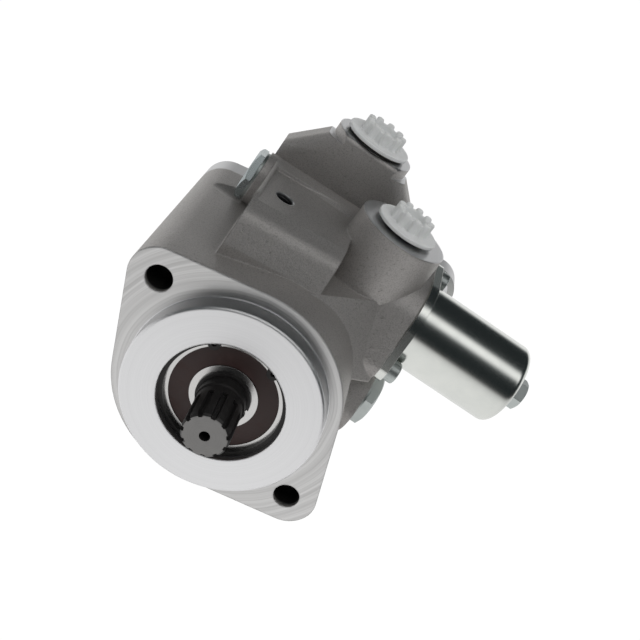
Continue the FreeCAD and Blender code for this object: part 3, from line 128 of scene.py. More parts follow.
PRESSURE_PORT = place_of("pressure_port")
SUCTION_PORT = place_of("suction_port")
print("ports at heights", round(PRESSURE_PORT.z, 1), "and", round(SUCTION_PORT.z, 1))

# %% [markdown]
# ## The camera
#
# The photograph was solved from the flange's two holes, the pilot circle and the shaft: that
# gives the camera's place, the direction that it looks in, and how it is rolled. A camera in
# Blender looks down its own -Z, with +X to the right and +Y up, so the three directions below
# fill the columns of its matrix.

# %% Camera
CAMERA_PLACE = Vector((-33.38, -324.41, 205.51)) * MM
CAMERA_RIGHT = Vector((0.82559, 0.14479, 0.54538)).normalized()
CAMERA_AHEAD = Vector((0.12720, 0.89389, -0.42987)).normalized()
CAMERA_LENS = 54.17
CAMERA_SENSOR = 36

camera_up = CAMERA_RIGHT.cross(CAMERA_AHEAD)
camera_turn = Matrix((CAMERA_RIGHT, camera_up, -CAMERA_AHEAD)).transposed()
camera_data = bpy.data.cameras.new("camera")
camera_data.lens = CAMERA_LENS
camera_data.sensor_width = CAMERA_SENSOR
camera_data.clip_start = 0.01
camera_data.clip_end = 50
camera = bpy.data.objects.new("camera", camera_data)
camera.matrix_world = Matrix.Translation(CAMERA_PLACE) @ camera_turn.to_4x4()
bpy.context.scene.collection.objects.link(camera)
bpy.context.scene.camera = camera
print("camera at", [round(c, 3) for c in camera.matrix_world.translation])

# %% [markdown]
# ## Shader sums in Python
#
# A node tree is easier to read as a formula. `Wire` wraps one output socket, and its operators
# add Math nodes, so `1 - mask * 0.5` builds two of them. `Paint` is the tree of one material or
# of the world. Its method `node` adds any other node: first the settings, then the values or
# wires of its sockets. `close` joins the last node to the output.

# %% Wires


class Wire:
    """One output socket of a shader tree, used in Python sums."""

    def __init__(self, paint, socket):
        self.paint = paint
        self.socket = socket

    def math(self, operation, *values):
        """A Math node on these values, which are wires or numbers."""
        return self.paint.node("Math", {"operation": operation}, dict(enumerate(values)))

    def __add__(self, other):
        return self.math("ADD", self, other)

    def __radd__(self, other):
        return self.math("ADD", other, self)

    def __sub__(self, other):
        return self.math("SUBTRACT", self, other)

    def __rsub__(self, other):
        return self.math("SUBTRACT", other, self)

    def __mul__(self, other):
        return self.math("MULTIPLY", self, other)

    def __rmul__(self, other):
        return self.math("MULTIPLY", other, self)

    def __truediv__(self, other):
        return self.math("DIVIDE", self, other)

    def __pow__(self, other):
        return self.math("POWER", self, other)


print("wires ready")

# %% Paints


class Paint:
    """The node tree of a material, or of the world."""

    def __init__(self, name, owners=bpy.data.materials):
        self.owner = owners.new(name)
        self.owner.use_nodes = True
        self.tree = self.owner.node_tree
        self.tree.nodes.clear()

    def node(self, kind, settings=None, sockets=None, output=0):
        """Add a node: its settings, then its sockets. Hands back one of its outputs."""
        made = self.tree.nodes.new("ShaderNode" + kind)
        for setting, choice in (settings or {}).items():
            setattr(made, setting, choice)
        for key, given in (sockets or {}).items():
            if isinstance(given, Wire):
                self.tree.links.new(given.socket, made.inputs[key])
            else:
                made.inputs[key].default_value = given
        return Wire(self, made.outputs[output])

    def finish(self, **sockets):
        """Close the material with one surface shader."""
        named = {key.replace("_", " "): given for key, given in sockets.items()}
        return self.close(self.node("BsdfPrincipled", None, named))

    def close(self, shader, output="ShaderNodeOutputMaterial"):
        """Join the last shader to the output, and hand back what the tree belongs to."""
        end = self.tree.nodes.new(output)
        self.tree.links.new(shader.socket, end.inputs["Surface"])
        return self.owner


print("paints ready")

# %% [markdown]
# ## Small building blocks for every finish
#
# Every finish here starts from the same few patterns: a place in millimetres, a soft step that
# marks a region, cloudy noise, and fine lines that run around an axis, as a lathe tool leaves
# them. Rounded edges come from the Bevel node, which bends the normal near an edge the way a
# real broken edge does.

# %% Places and regions


def split(vector):
    """The x, y and z of a vector."""
    parts = vector.paint.node("SeparateXYZ", None, {0: vector})
    return [Wire(vector.paint, part) for part in parts.socket.node.outputs]


def place(paint):
    """The x, y and z of the point being shaded, in millimetres."""
    point = paint.node("TexCoord", output="Object")
    return split(paint.node("VectorMath", {"operation": "SCALE"}, {0: point, "Scale": 1 / MM}))


def facing(paint):
    """The x, y and z of the direction that the surface faces."""
    return split(paint.node("TexCoord", output="Normal"))


def step(wire, start, end):
    """0 before start, 1 after end, and smooth between them."""
    return wire.paint.node("MapRange", {"interpolation_type": "SMOOTHSTEP"},
                           {"Value": wire, "From Min": start, "From Max": end})


def between(wire, low, high, soft):
    """1 where the wire is between low and high."""
    return step(wire, low - soft, low) * (1 - step(wire, high, high + soft))


def distance(first, second):
    """How far a point lies from an axis, from its two coordinates about that axis."""
    return (first * first + second * second) ** 0.5


def within(first, second, centre, radius, soft=0.1):
    """1 inside a circle around an axis through centre."""
    away = distance(first - centre[0], second - centre[1])
    return 1 - step(away, radius, radius + soft)


def any_of(first, *others):
    """The highest of several wires, so 1 where any mask is 1."""
    for other in others:
        first = first.math("MAXIMUM", first, other)
    return first


print("regions ready")

# %% Noise, colour and relief


def cloud(paint, size, detail=3.0, roughness=0.55):
    """Cloudy noise from 0 to 1, with lumps of about size millimetres."""
    return paint.node("TexNoise", None, {
        "Vector": paint.node("TexCoord", output="Object"), "Scale": 1 / (size * MM),
        "Detail": detail, "Roughness": roughness})


def lines(along, size, detail=2.0):
    """Noise that changes only along one wire, so it draws lines across it."""
    return along.paint.node("TexNoise", {"noise_dimensions": "1D"}, {
        "W": along / size, "Scale": 1.0, "Detail": detail, "Roughness": 0.6})


def mix(factor, first, second):
    """A colour between two colours. 0, 6 and 7 are the Mix node's sockets for colours."""
    return factor.paint.node("Mix", {"data_type": "RGBA"}, {0: factor, 6: first, 7: second}, 2)


def shaded(colour, red, green, blue):
    """A colour times a share for each of its three parts."""
    return (colour[0] * red, colour[1] * green, colour[2] * blue, 1.0)


def rounded(paint, radius):
    """The surface's normal, bent near edges as if they were rounded by radius millimetres."""
    return paint.node("Bevel", {"samples": 6}, {"Radius": radius * MM})


def bump(height, depth, normal=None):
    """A normal that follows a height from 0 to 1, over a depth in millimetres."""
    sockets = {"Strength": 1.0, "Distance": depth * MM, "Height": height}
    if normal is not None:
        sockets["Normal"] = normal
    return height.paint.node("Bump", None, sockets)


print("patterns ready")

# %% [markdown]
# ## Where a tool has cut the casting
#
# The housing comes out of its mould with one rough skin. Then its faces and bores are machined:
# the flange, the pilot and all that is bored behind it, the back, the tops and bores of the two
# ports, the rim of the gauge port, the pad of the spring can, the ring under the side plug and
# the boss of the valve plug. They are all faces of one solid, so instead of splitting it, one
# mask finds them by their place and by the way that they face. It reaches a little past each
# face and fades out between NEAR and FAR from it, so no skin flickers through.

# %% Mask of the machined faces
PILOT_RADIUS = radius_of("pilot")
PILOT_WALL = 2.0
CAST_BACK = box_of("housing")[1].y
PAD_FACE = box_of("can_plate")[0].x
SIDE_FACE = box_of("side_plug_washer")[0].x
VALVE_AXIS = middle_of("valve_plug_washer")
VALVE_FACE = box_of("valve_plug_washer")[1].x
VALVE_CUT_RADIUS = 12.0
PORT_CUT_RADIUS = 13.0
PORT_CUT_DEPTH = 27.0
GAUGE_PORT = place_of("gauge_port")
GAUGE_RADIUS = radius_of("gauge_port")
GAUGE_CHAMFER = 0.5
GAUGE_TOP = GAUGE_PORT.z + MOUNTS["gauge_port"]["dims"]["length_mm"] / 2
NEAR = 0.05
FAR = 0.15


def along_axis(part):
    """1 where the surface faces along an axis, from that part of its direction."""
    return step(part, 0.8, 0.9)


def cut_faces(x, y, z, nx, nz):
    """1 on the machined faces of the casting."""
    flange_and_pilot = 1 - step(y, NEAR, FAR)
    back = step(y, CAST_BACK - FAR, CAST_BACK - NEAR)
    bored = within(x, z, (0, 0), PILOT_RADIUS - PILOT_WALL)
    gauge_rim = within(x, y, GAUGE_PORT, GAUGE_RADIUS + GAUGE_CHAMFER)
    boss = within(y, z, VALVE_AXIS.yz, VALVE_CUT_RADIUS)
    boss_face = boss * (1 - step(x, VALVE_FACE + 0.1, VALVE_FACE + 0.2))
    masks = [flange_and_pilot, back, bored, gauge_rim, boss_face]
    for port in (PRESSURE_PORT, SUCTION_PORT):
        top = step(z, port.z - FAR, port.z - NEAR) * along_axis(nz)
        bottom = port.z - PORT_CUT_DEPTH
        bore = within(x, y, port, PORT_CUT_RADIUS) * step(z, bottom - 1, bottom)
        masks += [top, bore]
    for face in (PAD_FACE, SIDE_FACE):
        masks.append(between(x, face - 0.1, face + 0.1, 0.05) * along_axis(nx))
    return any_of(*masks)


print("pad face at x =", round(PAD_FACE, 2), "and back at y =", round(CAST_BACK, 2))

# %% [markdown]
# ## Cast skin
#
# Cast aluminium has a skin like fine sandpaper: dull, a little warm, with cloudy patches, dark
# specks and pinholes. The patches are large noise and the grain is fine noise, whose pale
# flecks are painted glints. Specks and pits are noise that a step has cut off, so only its
# peaks are left. The two long bolt bores are part of the skin too, and darken with depth,
# because no light gets down there.

# %% Colours of the cast skin
SKIN_DARK = (0.38, 0.362, 0.35, 1)
SKIN_PALE = (0.53, 0.51, 0.497, 1)
# The pale colour of the grain's flecks is a painted glint.
SKIN_GRAIN_GLINT = (0.72, 0.70, 0.68, 1)
SKIN_SPECK = (0.27, 0.26, 0.25, 1)
SKIN_PIT = (0.16, 0.155, 0.15, 1)
BORE_DARK = (0.035, 0.034, 0.033, 1)


def bolt_bore(x, z, mount):
    """1 inside one of the two long bolt bores."""
    at = place_of(mount)
    return within(x, z, at.xz, radius_of(mount) + 0.1, 0.2)


def skin_colour(x, y, z, grain, pits):
    """The colour of the casting where no tool has touched it."""
    paint = x.paint
    specks = step(cloud(paint, 0.55, 3, 0.7), 0.48, 0.62)
    skin = mix(cloud(paint, 22), SKIN_DARK, SKIN_PALE)
    # The grain lightens toward its pale colour, which paints glints on its flecks.
    skin = mix(grain * 0.6, skin, SKIN_GRAIN_GLINT)
    skin = mix(specks * 0.42, skin, SKIN_SPECK)
    skin = mix(pits * 0.25, skin, SKIN_PIT)
    bores = any_of(bolt_bore(x, z, "left_bolt_bore"), bolt_bore(x, z, "right_bolt_bore"))
    return mix(bores * step(y, 0.6, 3.0), skin, BORE_DARK)


for side in ("left", "right"):
    print(side, "bolt bore at x =", round(place_of(f"{side}_bolt_bore").x, 1))

# %% [markdown]
# ## Machined aluminium on the casting
#
# Where a tool has cut, the metal is pale and smooth, with fine lines that run around the tool's
# axis. The flange was milled in wide arcs, which leave it streaked, and its face gets a darker
# grey than the pilot, which is painted shade. The tapped gauge port is painted dark below its
# rim, as painted shade in the hole. The material at the end mixes colour, roughness and relief
# between skin and cut metal by the mask, so each edge between the two lies where it should.

# %% Cast housing
CUT_DARK = (0.72, 0.72, 0.725, 1)
CUT_PALE = (0.90, 0.90, 0.91, 1)
# The flange's greys: the streaks are tool marks, and their darker tone than the cut metal is
# painted shade.
MILLED_SHADED_DARK = (0.47, 0.465, 0.46, 1)
MILLED_SHADED_PALE = (0.76, 0.755, 0.75, 1)
# The dark inside the gauge port's hole is painted shade.
HOLE_SHADE = (0.04, 0.04, 0.04, 1)
SKIN_DEPTH = 0.19
RING_DEPTH = 0.006
CAST_EDGE = 1.1


def cut_colour(x, y, z, rings):
    """The colour of the casting where a tool has cut it."""
    paint = x.paint
    reach = distance(x, z)
    tool_marks = lines(reach + cloud(paint, 60, 1) * 2, 1.7)
    bright = mix(rings * 0.6 + tool_marks * 0.4, CUT_DARK, CUT_PALE)
    arcs = lines(reach + cloud(paint, 45, 2) * 1.5, 0.8, 4)
    streaks = step(lines(reach + cloud(paint, 30, 2) * 3, 2.2, 3), 0.35, 0.65)
    milled_and_shaded = mix(arcs * 0.6 + streaks * 0.4, MILLED_SHADED_DARK, MILLED_SHADED_PALE)
    beyond_pilot = step(reach, PILOT_RADIUS + 0.4, PILOT_RADIUS + 0.6)
    # The flange face beyond the pilot gets the darker greys: painted shade, with milled
    # streaks.
    bright = mix(between(y, -0.1, 0.1, 0.05) * beyond_pilot, bright, milled_and_shaded)
    # Below the rim of the gauge port the colour goes dark: painted shade in the hole, on the
    # thread too.
    in_gauge_hole = within(x, y, GAUGE_PORT, GAUGE_RADIUS + 0.1, GAUGE_CHAMFER - 0.1)
    return mix(in_gauge_hole * (1 - step(z, GAUGE_TOP - 2.0, GAUGE_TOP)), bright, HOLE_SHADE)


def cast_aluminium():
    paint = Paint("cast_aluminium")
    x, y, z = place(paint)
    nx, _, nz = facing(paint)
    cut = cut_faces(x, y, z, nx, nz)
    grain = cloud(paint, 0.7, 4, 0.65)
    pits = step(cloud(paint, 1.6, 2), 0.66, 0.72)
    rings = lines(distance(x, z), 0.22, 3)
    relief = grain * 0.7 + cloud(paint, 2.4) * 0.9 - pits * 0.6
    rough = bump(relief * (1 - cut), SKIN_DEPTH, rounded(paint, CAST_EDGE))
    return paint.finish(
        Base_Color=mix(cut, skin_colour(x, y, z, grain, pits), cut_colour(x, y, z, rings)),
        Metallic=0.8 + cut * 0.2,
        Roughness=cut * (0.30 + rings * 0.12) + (1 - cut) * (0.46 + grain * 0.14),
        Normal=bump(rings * cut, RING_DEPTH, rough))


PAINTS = {"cast_aluminium": cast_aluminium()}
print(len(PAINTS["cast_aluminium"].node_tree.nodes), "nodes in the cast aluminium")

# %% [markdown]
# ## Turned and ground metals
#
# The rear cover is turned, the bearing rings and the pump's inner pieces are ground. Both show
# fine lines around the shaft's axis, which differ in spacing. One function takes the colour,
# the roughness and the spacing, and makes each of them.

# %% Turned metals


def turned_metal(name, colour, roughness, spacing):
    """A metal with fine lines around the shaft's axis."""
    paint = Paint(name)
    x, y, z = place(paint)
    marks = lines(distance(x, z) + y, spacing, 3)
    haze = cloud(paint, 7)
    return paint.finish(
        Base_Color=mix(marks * 0.6 + haze * 0.4, shaded(colour, 0.82, 0.82, 0.82), colour),
        Metallic=1.0, Roughness=roughness - 0.05 + marks * 0.10,
        Normal=bump(marks, 0.004, rounded(paint, 0.25)))


for name, colour, roughness, spacing in (
        ("machined_aluminium", (0.66, 0.66, 0.665, 1), 0.36, 0.3),
        ("bearing_steel", (0.72, 0.71, 0.70, 1), 0.24, 0.2),
        ("ground_steel", (0.55, 0.55, 0.56, 1), 0.30, 0.15),
        ("bronze", (0.66, 0.43, 0.20, 1), 0.34, 0.25)):
    PAINTS[name] = turned_metal(name, colour, roughness, spacing)
print("paints so far:", *PAINTS)

# %% [markdown]
# ## Zinc plate
#
# Bolts and plugs are dipped in bright zinc: a metal with a faint green-blue cast, cloudy where
# the passivate dried. Springs and the ball cage have the same haze in other colours. The plug
# of the flow valve is darker than the other zinc, so it has a zinc of its own.
#
# The spring can is drawn from sheet and barrel polished, so it mirrors the room in long soft
# bands. Its marks run around the can, which lies along X, and are kept faint, because a
# polished surface shows every bump as noise.

# %% Zinc finishes
CAN_AXIS = middle_of("spring_can")
CAN_PALE = (0.82, 0.83, 0.79, 1)
CAN_HAZY = (0.70, 0.72, 0.69, 1)


def zinc_plate(name, colour, roughness, edge):
    """Hazy plated metal, with edges rounded by edge millimetres."""
    paint = Paint(name)
    haze = cloud(paint, 3.2, 4)
    grain = cloud(paint, 0.35)
    return paint.finish(
        Base_Color=mix(haze, colour, shaded(colour, 0.84, 0.87, 0.86)),
        Metallic=1.0, Roughness=roughness + haze * 0.10 + grain * 0.05,
        Normal=bump(grain, 0.006, rounded(paint, edge)))


def bright_zinc():
    paint = Paint("bright_zinc")
    x, y, z = place(paint)
    marks = lines(x + distance(y - CAN_AXIS.y, z - CAN_AXIS.z), 0.7)
    haze = cloud(paint, 9, 4)
    return paint.finish(
        Base_Color=mix(haze, CAN_PALE, CAN_HAZY),
        Metallic=1.0, Roughness=0.17 + haze * 0.06 + marks * 0.03,
        Normal=bump(marks, 0.0012, rounded(paint, 0.3)))


for name, colour, roughness, edge in (
        ("zinc_steel", (0.60, 0.63, 0.62, 1), 0.38, 0.4),
        ("cage_steel", (0.60, 0.58, 0.54, 1), 0.32, 0.2),
        ("spring_steel", (0.20, 0.20, 0.205, 1), 0.34, 0.1)):
    PAINTS[name] = zinc_plate(name, colour, roughness, edge)
PAINTS["bright_zinc"] = bright_zinc()
dark_zinc = zinc_plate("dark_zinc", (0.46, 0.50, 0.51, 1), 0.2, 0.35)
print("paints so far:", *PAINTS, "and", dark_zinc.name)

# %% [markdown]
# ## Black oxide, rubber and plastic
#
# The drive shaft is hardened and black, but its end is ground bare after hardening, which shows
# as a grey star. Rubber is dull and dark, with a dusty bloom. The caps are moulded from white
# polyethylene, which lets a little light in, so they get some subsurface.

# %% Dark and soft finishes
SPLINE_TIP = box_of("drive_shaft")[0].y
OXIDE_DARK = (0.022, 0.021, 0.021, 1)
OXIDE_PALE = (0.050, 0.048, 0.047, 1)
GROUND_DARK = (0.20, 0.195, 0.19, 1)
GROUND_PALE = (0.30, 0.295, 0.29, 1)
PLASTIC_PALE = (0.79, 0.80, 0.80, 1)
PLASTIC_HAZY = (0.67, 0.68, 0.67, 1)


def black_steel():
    paint = Paint("black_steel")
    x, y, z = place(paint)
    bare = 1 - step(y, SPLINE_TIP + NEAR, SPLINE_TIP + FAR)
    haze = cloud(paint, 2.6, 4)
    grain = cloud(paint, 0.3, 2)
    marks = lines(distance(x, z), 0.25)
    black = mix(haze, OXIDE_DARK, OXIDE_PALE)
    ground = mix(marks, GROUND_DARK, GROUND_PALE)
    return paint.finish(
        Base_Color=mix(bare, black, ground), Metallic=0.65 + bare * 0.3,
        Roughness=0.36 + haze * 0.14 + bare * 0.05,
        Normal=bump(grain * 0.6 + marks * 0.4 * bare, 0.010, rounded(paint, 0.22)))


def rubber(name, dark, dusty, roughness):
    """Dull rubber, with dust where a step cuts off the noise."""
    paint = Paint(name)
    dust = step(cloud(paint, 4.5, 5), 0.42, 0.75)
    return paint.finish(
        Base_Color=mix(dust * 0.6, dark, dusty), Roughness=roughness + dust * 0.12,
        Normal=bump(cloud(paint, 0.3), 0.014, rounded(paint, 0.2)))


def white_plastic():
    paint = Paint("white_plastic")
    haze = cloud(paint, 5)
    return paint.finish(
        Base_Color=mix(haze, PLASTIC_PALE, PLASTIC_HAZY),
        Roughness=0.36 + haze * 0.12, Subsurface_Weight=0.35,
        Subsurface_Radius=(0.9, 0.9, 0.85), Subsurface_Scale=2.2 * MM,
        Normal=bump(cloud(paint, 0.45), 0.008))


PAINTS["black_steel"] = black_steel()
PAINTS["seal_rubber"] = rubber(
    "seal_rubber", (0.034, 0.013, 0.011, 1), (0.060, 0.032, 0.028, 1), 0.48)
PAINTS["black_rubber"] = rubber(
    "black_rubber", (0.012, 0.012, 0.012, 1), (0.04, 0.04, 0.04, 1), 0.55)
PAINTS["white_plastic"] = white_plastic()
print("paints so far:", *PAINTS)

# %% [markdown]
# ## Every solid gets its finish
#
# The record names a material slot for each solid, and the paints carry the names of the slots.
# So a loop dresses all of them, and a solid that is added to the record later can't be left
# bare. The valve plug is the one exception: it keeps its slot, and only its paint is the darker
# zinc.

# %% Paint the solids


def dress(piece, slot):
    """Give a piece the paint of a material slot, and nothing else."""
    piece.data.materials.clear()
    piece.data.materials.append(PAINTS[slot])


for subpart in RECORD["subparts"]:
    dress(SOLIDS[subpart["node"]], subpart["material_slot"])
SOLIDS["valve_plug"].data.materials[0] = dark_zinc
print(len(RECORD["subparts"]), "solids painted with", len(PAINTS), "finishes and one more")

# %% [markdown]
# ## Tools for modelling by hand
#
# So each new piece starts with a clean selection, and faces are picked in code by the way that
# they face. A finished piece has its place in its mesh, as the solids have, so that patterns on
# it don't slide.

# %% Modelling helpers
MERGE_REACH = 0.001


def start_clean():
    """Nothing selected, nothing in edit mode."""
    if bpy.context.object and bpy.context.object.mode != "OBJECT":
        bpy.ops.object.mode_set(mode="OBJECT")
    bpy.ops.object.select_all(action="DESELECT")


def take(piece, *others):
    """Select only these pieces, with the first as the active one."""
    start_clean()
    for chosen in (piece, *others):
        chosen.select_set(True)
    bpy.context.view_layer.objects.active = piece


def choose_faces(piece, way):
    """In edit mode, select the faces that look up, for way 1, or down, for way -1."""
    bpy.ops.object.mode_set(mode="OBJECT")
    for corner in piece.data.vertices:
        corner.select = False
    for edge in piece.data.edges:
        edge.select = False
    for face in piece.data.polygons:
        face.select = face.normal.z * way > 0.9
    bpy.ops.object.mode_set(mode="EDIT")
    bpy.ops.mesh.select_mode(type="FACE")


def extrude(length):
    """Pull the selected faces up, in millimetres, or down for a negative length."""
    bpy.ops.mesh.extrude_region_move(TRANSFORM_OT_translate={"value": (0, 0, length * MM)})


def inset(thickness):
    """Shrink the selected faces inwards, in millimetres."""
    bpy.ops.mesh.inset(thickness=thickness * MM, depth=0)


def merge_doubles():
    """In edit mode, merge points that lie on each other, and leave all selected."""
    bpy.ops.mesh.select_all(action="SELECT")
    bpy.ops.mesh.remove_doubles(threshold=MERGE_REACH * MM)


def apply_all(piece):
    """Apply the modifiers of a piece, in order."""
    take(piece)
    for modifier in list(piece.modifiers):
        bpy.ops.object.modifier_apply(modifier=modifier.name)


def settle(piece, name):
    """Name a finished piece and move its place into its mesh."""
    take(piece)
    bpy.ops.object.transform_apply(location=True, rotation=True, scale=True)
    piece.name = name
    piece.data.name = name


print("modelling helpers ready")

# %% [markdown]
# ## The transport caps
#
# The two ports travel with white caps: a hollow stem that pushes into the port, a thin flange
# and a knob with rounded ribs for the fingers. They come out of a mould, so no edge on them is
# sharp. The flange starts as a cylinder, the knob and the stem grow from it by inset and
# extrude, and the ribs are joined on. A remesh and a little smoothing then melt all of it
# together, which a bevel can't do where ribs meet a round core. The radii and heights are read
# from the plain solid that the cap stands in for.

# %% Ribs of a cap
RIB_COUNT = 9
RIB_RADIUS = 1.75
RIB_SIDES = 24
RIB_ROUND = 0.8


def cap_rib(foot, reach, height, turn):
    """One rib of the knob, with a rounded top."""
    middle = foot + Vector((reach * math.cos(turn), reach * math.sin(turn), height / 2))
    bpy.ops.mesh.primitive_cylinder_add(
        vertices=RIB_SIDES, radius=RIB_RADIUS * MM, depth=height * MM, location=middle * MM)
    rib = bpy.context.object
    choose_faces(rib, 1)
    bpy.ops.mesh.bevel(offset=RIB_ROUND * MM, segments=3, affect="EDGES")
    bpy.ops.object.mode_set(mode="OBJECT")
    return rib


print(RIB_COUNT, "ribs for each cap")

# %% Caps
CAP_SEGMENTS = 96
CAP_WALL = 1.8
CAP_FLANGE = 1.7
CAP_DISH = 2.6
CAP_VOXEL = 0.26
RIB_STAND = 1.3


def reach_of(solid, port, low, high):
    """How far a solid reaches from a port's axis between two heights, in millimetres."""
    return max(math.hypot(corner.co.x / MM - port.x, corner.co.y / MM - port.y)
               for corner in SOLIDS[solid].data.vertices if low < corner.co.z / MM < high)


def melt(body, ribs):
    """Join the ribs to the body and melt their edges into each other."""
    take(body, *ribs)
    bpy.ops.object.join()
    remesh = body.modifiers.new("melt", "REMESH")
    remesh.mode = "VOXEL"
    remesh.voxel_size = CAP_VOXEL * MM
    smooth = body.modifiers.new("soften", "SMOOTH")
    smooth.factor = 0.5
    smooth.iterations = 4
    apply_all(body)


def cap(name, solid, seal, port):
    """A moulded cap in the place of its plain solid."""
    low, high = box_of(solid)
    flange_low = box_of(seal)[1].z
    flange_radius = (high.x - low.x) / 2
    stem = flange_low - low.z
    stem_radius = reach_of(solid, port, low.z - 0.1, low.z + 0.1)
    core_radius = reach_of(solid, port, high.z - 1, high.z + 0.1) - RIB_RADIUS
    foot = Vector((port.x, port.y, flange_low + CAP_FLANGE / 2))
    start_clean()
    bpy.ops.mesh.primitive_cylinder_add(
        vertices=CAP_SEGMENTS, radius=flange_radius * MM, depth=CAP_FLANGE * MM,
        location=foot * MM)
    body = bpy.context.object
    choose_faces(body, 1)
    inset(flange_radius - core_radius)
    extrude(high.z - flange_low - CAP_FLANGE - RIB_STAND)
    inset(CAP_WALL)
    extrude(-CAP_DISH)
    choose_faces(body, -1)
    inset(flange_radius - stem_radius)
    extrude(-stem)
    inset(CAP_WALL)
    extrude(stem)
    bpy.ops.object.mode_set(mode="OBJECT")
    melt(body, [cap_rib(foot, core_radius, high.z - foot.z, 2 * math.pi * n / RIB_COUNT)
                for n in range(RIB_COUNT)])
    settle(body, name)
    bpy.ops.object.shade_smooth()
    dress(body, "white_plastic")
    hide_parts(solid)
    return body


for port_name, port in (("pressure", PRESSURE_PORT), ("suction", SUCTION_PORT)):
    made = cap(f"{port_name}_cap_moulded", f"{port_name}_plug", f"{port_name}_plug_seal", port)
    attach(made, f"{port_name}_cap")
    print(made.name, len(made.data.polygons), "faces")

# %% [markdown]
# ## The thread in the gauge port
#
# The small hole in the flat pad is tapped. A thread is a ridge that climbs one pitch per turn,
# and the Screw modifier makes exactly that from a small triangle: it turns the section around
# the axis while it lifts it. The triangle's middle lies close to the wall of the hole, so its
# crest stands out and its root is sunk into the metal.

# %% Gauge port thread
THREAD_PITCH = 1.0
THREAD_TURNS = 9
THREAD_STEPS = 40
THREAD_HEIGHT = 0.5
THREAD_INWARD = 0.35
THREAD_START = 10


def gauge_thread():
    """A screw thread on the wall of the gauge port."""
    start_clean()
    bpy.ops.mesh.primitive_circle_add(
        vertices=3, radius=THREAD_HEIGHT * MM, fill_type="NOTHING",
        location=((GAUGE_RADIUS - THREAD_HEIGHT * THREAD_INWARD) * MM, 0, 0),
        rotation=(math.pi / 2, math.pi / 2, 0))
    piece = bpy.context.object
    bpy.ops.object.transform_apply(location=True, rotation=True, scale=True)
    screw = piece.modifiers.new("climb", "SCREW")
    screw.screw_offset = THREAD_PITCH * MM
    screw.iterations = THREAD_TURNS
    screw.steps = THREAD_STEPS
    screw.render_steps = THREAD_STEPS
    apply_all(piece)
    bpy.ops.object.mode_set(mode="EDIT")
    merge_doubles()
    bpy.ops.mesh.normals_make_consistent(inside=False)
    bpy.ops.object.mode_set(mode="OBJECT")
    piece.location = Vector((GAUGE_PORT.x, GAUGE_PORT.y, GAUGE_TOP - THREAD_START)) * MM
    settle(piece, "gauge_port_thread")
    dress(piece, "cast_aluminium")
    return piece


thread = gauge_thread()
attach(thread, "pump_casing")
print(thread.name, len(thread.data.polygons), "faces")

# %% [markdown]
# ## Copies of the springs
#
# Two springs are pressed together when their slides move, which a solid can't do. A copy of
# each, with a mesh of its own, stands in for it and rides on its joint's parent, but nothing
# here shortens it. A solid's mesh is loose triangles, so the copy's points are merged first.

# %% Springs


def live_spring(node, joint):
    """A copy of a spring, with merged points, on its joint's parent."""
    piece = SOLIDS[node].copy()
    piece.data = piece.data.copy()
    bpy.context.scene.collection.objects.link(piece)
    take(piece)
    bpy.ops.object.mode_set(mode="EDIT")
    merge_doubles()
    bpy.ops.object.mode_set(mode="OBJECT")
    settle(piece, f"{node}_live")
    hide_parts(node)
    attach(piece, joint["parent"])
    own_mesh(piece)
    return piece


for joint in frame["joints"]:
    for soft in joint.get("deforming_nodes", []):
        made = live_spring(soft["node"], joint)

# %% [markdown]
# ## The white floor
#
# The photograph is a product shot on white, without a shadow on the ground. So the camera sees
# the floor as plain light, almost free of its own shading. The Light Path node tells which kind
# of ray asks: a metal that mirrors the floor also gets white, which fades with distance in
# front of the pump, where the white sheet ended. All other rays meet a matt sheet, which throws
# soft light up under the pump.

# %% Floor
FLOOR_DROP = 0.5
FLOOR_SHEET = 60000
FLOOR_WHITE = 0.97
FLOOR_GLOW = 1.05
FLOOR_MATT = (0.7, 0.7, 0.7, 1)
FLOOR_FRONT = 500
FLOOR_END = 1250
FLOOR_MIRRORED = 0.9
ROOM_DIM = 0.02


def floor_paint():
    """White to the camera and in reflections, and matt to all other light."""
    paint = Paint("floor_sheet")
    x, y, _ = place(paint)
    seen = paint.node("LightPath", output="Is Camera Ray")
    mirrored = any_of(paint.node("LightPath", output="Is Glossy Ray"),
                      paint.node("LightPath", output="Is Transmission Ray"))
    fading = step(distance(x, y), 0, FLOOR_END) * (1 - step(y, 0, FLOOR_FRONT))
    in_metal = FLOOR_MIRRORED - fading * (FLOOR_MIRRORED - ROOM_DIM)
    glow = paint.node("Emission", None, {
        "Color": (1, 1, 1, 1), "Strength": seen * FLOOR_GLOW + mirrored * in_metal})
    matt = paint.node("BsdfDiffuse", None, {"Color": FLOOR_MATT})
    share = any_of(seen * FLOOR_WHITE, mirrored)
    return paint.close(paint.node("MixShader", None, {0: share, 1: matt, 2: glow}))


start_clean()
bpy.ops.mesh.primitive_plane_add(
    size=FLOOR_SHEET * MM, location=(0, 0, solid_box[0][2] - FLOOR_DROP * MM))
floor = bpy.context.object
floor.name = "floor"
floor.data.materials.append(floor_paint())
print("floor at z =", round(floor.location.z, 4))

# %% [markdown]
# ## The room that the metal mirrors
#
# Polished metal shows the room, so the bands on the spring can are a picture of the studio.
# They are painted into the world for mirroring rays only: a softbox that stands high in front,
# a white backdrop behind, and a dim, slightly blue room between them, which gives the can its
# dark bands. Matt surfaces get an even light from all sides, and the camera sees white.
#
# Each ray's direction is a point on a ball around the scene. So the softbox is a region on that
# ball: a range of degrees above the front horizon and a range of x, each with its softness. The
# backdrop starts behind the pump and ends at a height, each time over a short range.

# %% Room
ROOM_SOFT = 0.36
ROOM_TINT = (0.72, 0.93, 1, 1)
SOFTBOX = 1.05
SOFTBOX_RISE = (57, 66, 14)
SOFTBOX_SIDES = (-0.55, 0.6, 0.25)
BACKDROP = 0.88
BACKDROP_BEHIND = (0.0, 0.35)
BACKDROP_TOP = (0.27, 0.52)


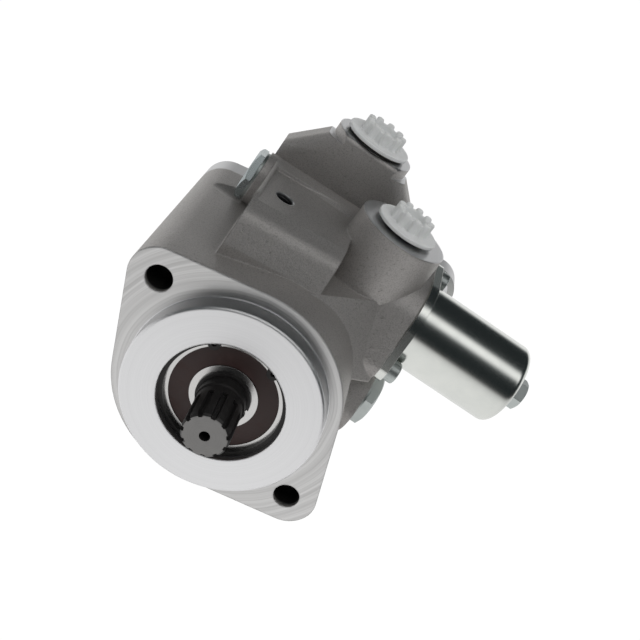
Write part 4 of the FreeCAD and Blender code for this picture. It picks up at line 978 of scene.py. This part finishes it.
def room_light():
    """White to the camera and soft to matt surfaces; metal sees a softbox and a backdrop."""
    room = Paint("room", bpy.data.worlds)
    x, y, z = split(room.node("TexCoord", output="Generated"))
    rise = z.math("ARCTAN2", z, 0 - y) * math.degrees(1)
    softbox = between(rise, *SOFTBOX_RISE) * between(x, *SOFTBOX_SIDES)
    backdrop = step(y, *BACKDROP_BEHIND) * (1 - step(z, *BACKDROP_TOP))
    shine = ROOM_DIM + softbox * SOFTBOX + backdrop * BACKDROP
    seen = room.node("LightPath", output="Is Camera Ray")
    glossy = room.node("LightPath", output="Is Glossy Ray")
    strength = seen + (1 - seen) * (glossy * shine + (1 - glossy) * ROOM_SOFT)
    colour = mix(step(strength, 0.0, 0.4), ROOM_TINT, (1, 1, 1, 1))
    light = room.node("Background", None, {"Color": colour, "Strength": strength})
    return room.close(light, "ShaderNodeOutputWorld")


bpy.context.scene.world = room_light()
print(len(bpy.context.scene.world.node_tree.nodes), "nodes in the room")

# %% [markdown]
# ## Two lamps
#
# A large key lamp hangs above the front and shapes the casting, and a small one from the left
# lifts its dark side. Both are hidden from reflections, because the softbox in the room already
# stands for them there. Their reach and size are in metres.

# %% Lamps
LAMPS = {
    "key": {"toward": (0.25, -0.50, 0.86), "reach": 0.85, "size": (0.95, 0.42), "face": 1.9},
    "side": {"toward": (-0.95, -0.15, 0.55), "reach": 0.9, "size": (0.45, 0.45), "face": 0.8},
}
PUMP_MIDDLE = (Vector(solid_box[0]) + Vector(solid_box[1])) / 2


def lamp(name, toward, reach, size, face):
    """A rectangle of light that aims at the pump's middle; face is how bright it is."""
    data = bpy.data.lights.new(name, "AREA")
    data.shape = "RECTANGLE"
    data.size, data.size_y = size
    data.energy = face * math.pi * size[0] * size[1]
    item = bpy.data.objects.new(name, data)
    direction = Vector(toward).normalized()
    item.location = PUMP_MIDDLE + direction * reach
    item.rotation_euler = (-direction).to_track_quat("-Z", "Y").to_euler()
    item.visible_glossy = False
    bpy.context.scene.collection.objects.link(item)
    return item


for name, settings in LAMPS.items():
    print(name, "lamp with", round(lamp(name, **settings).data.energy, 2), "watts")
bpy.context.scene.view_settings.view_transform = "Standard"
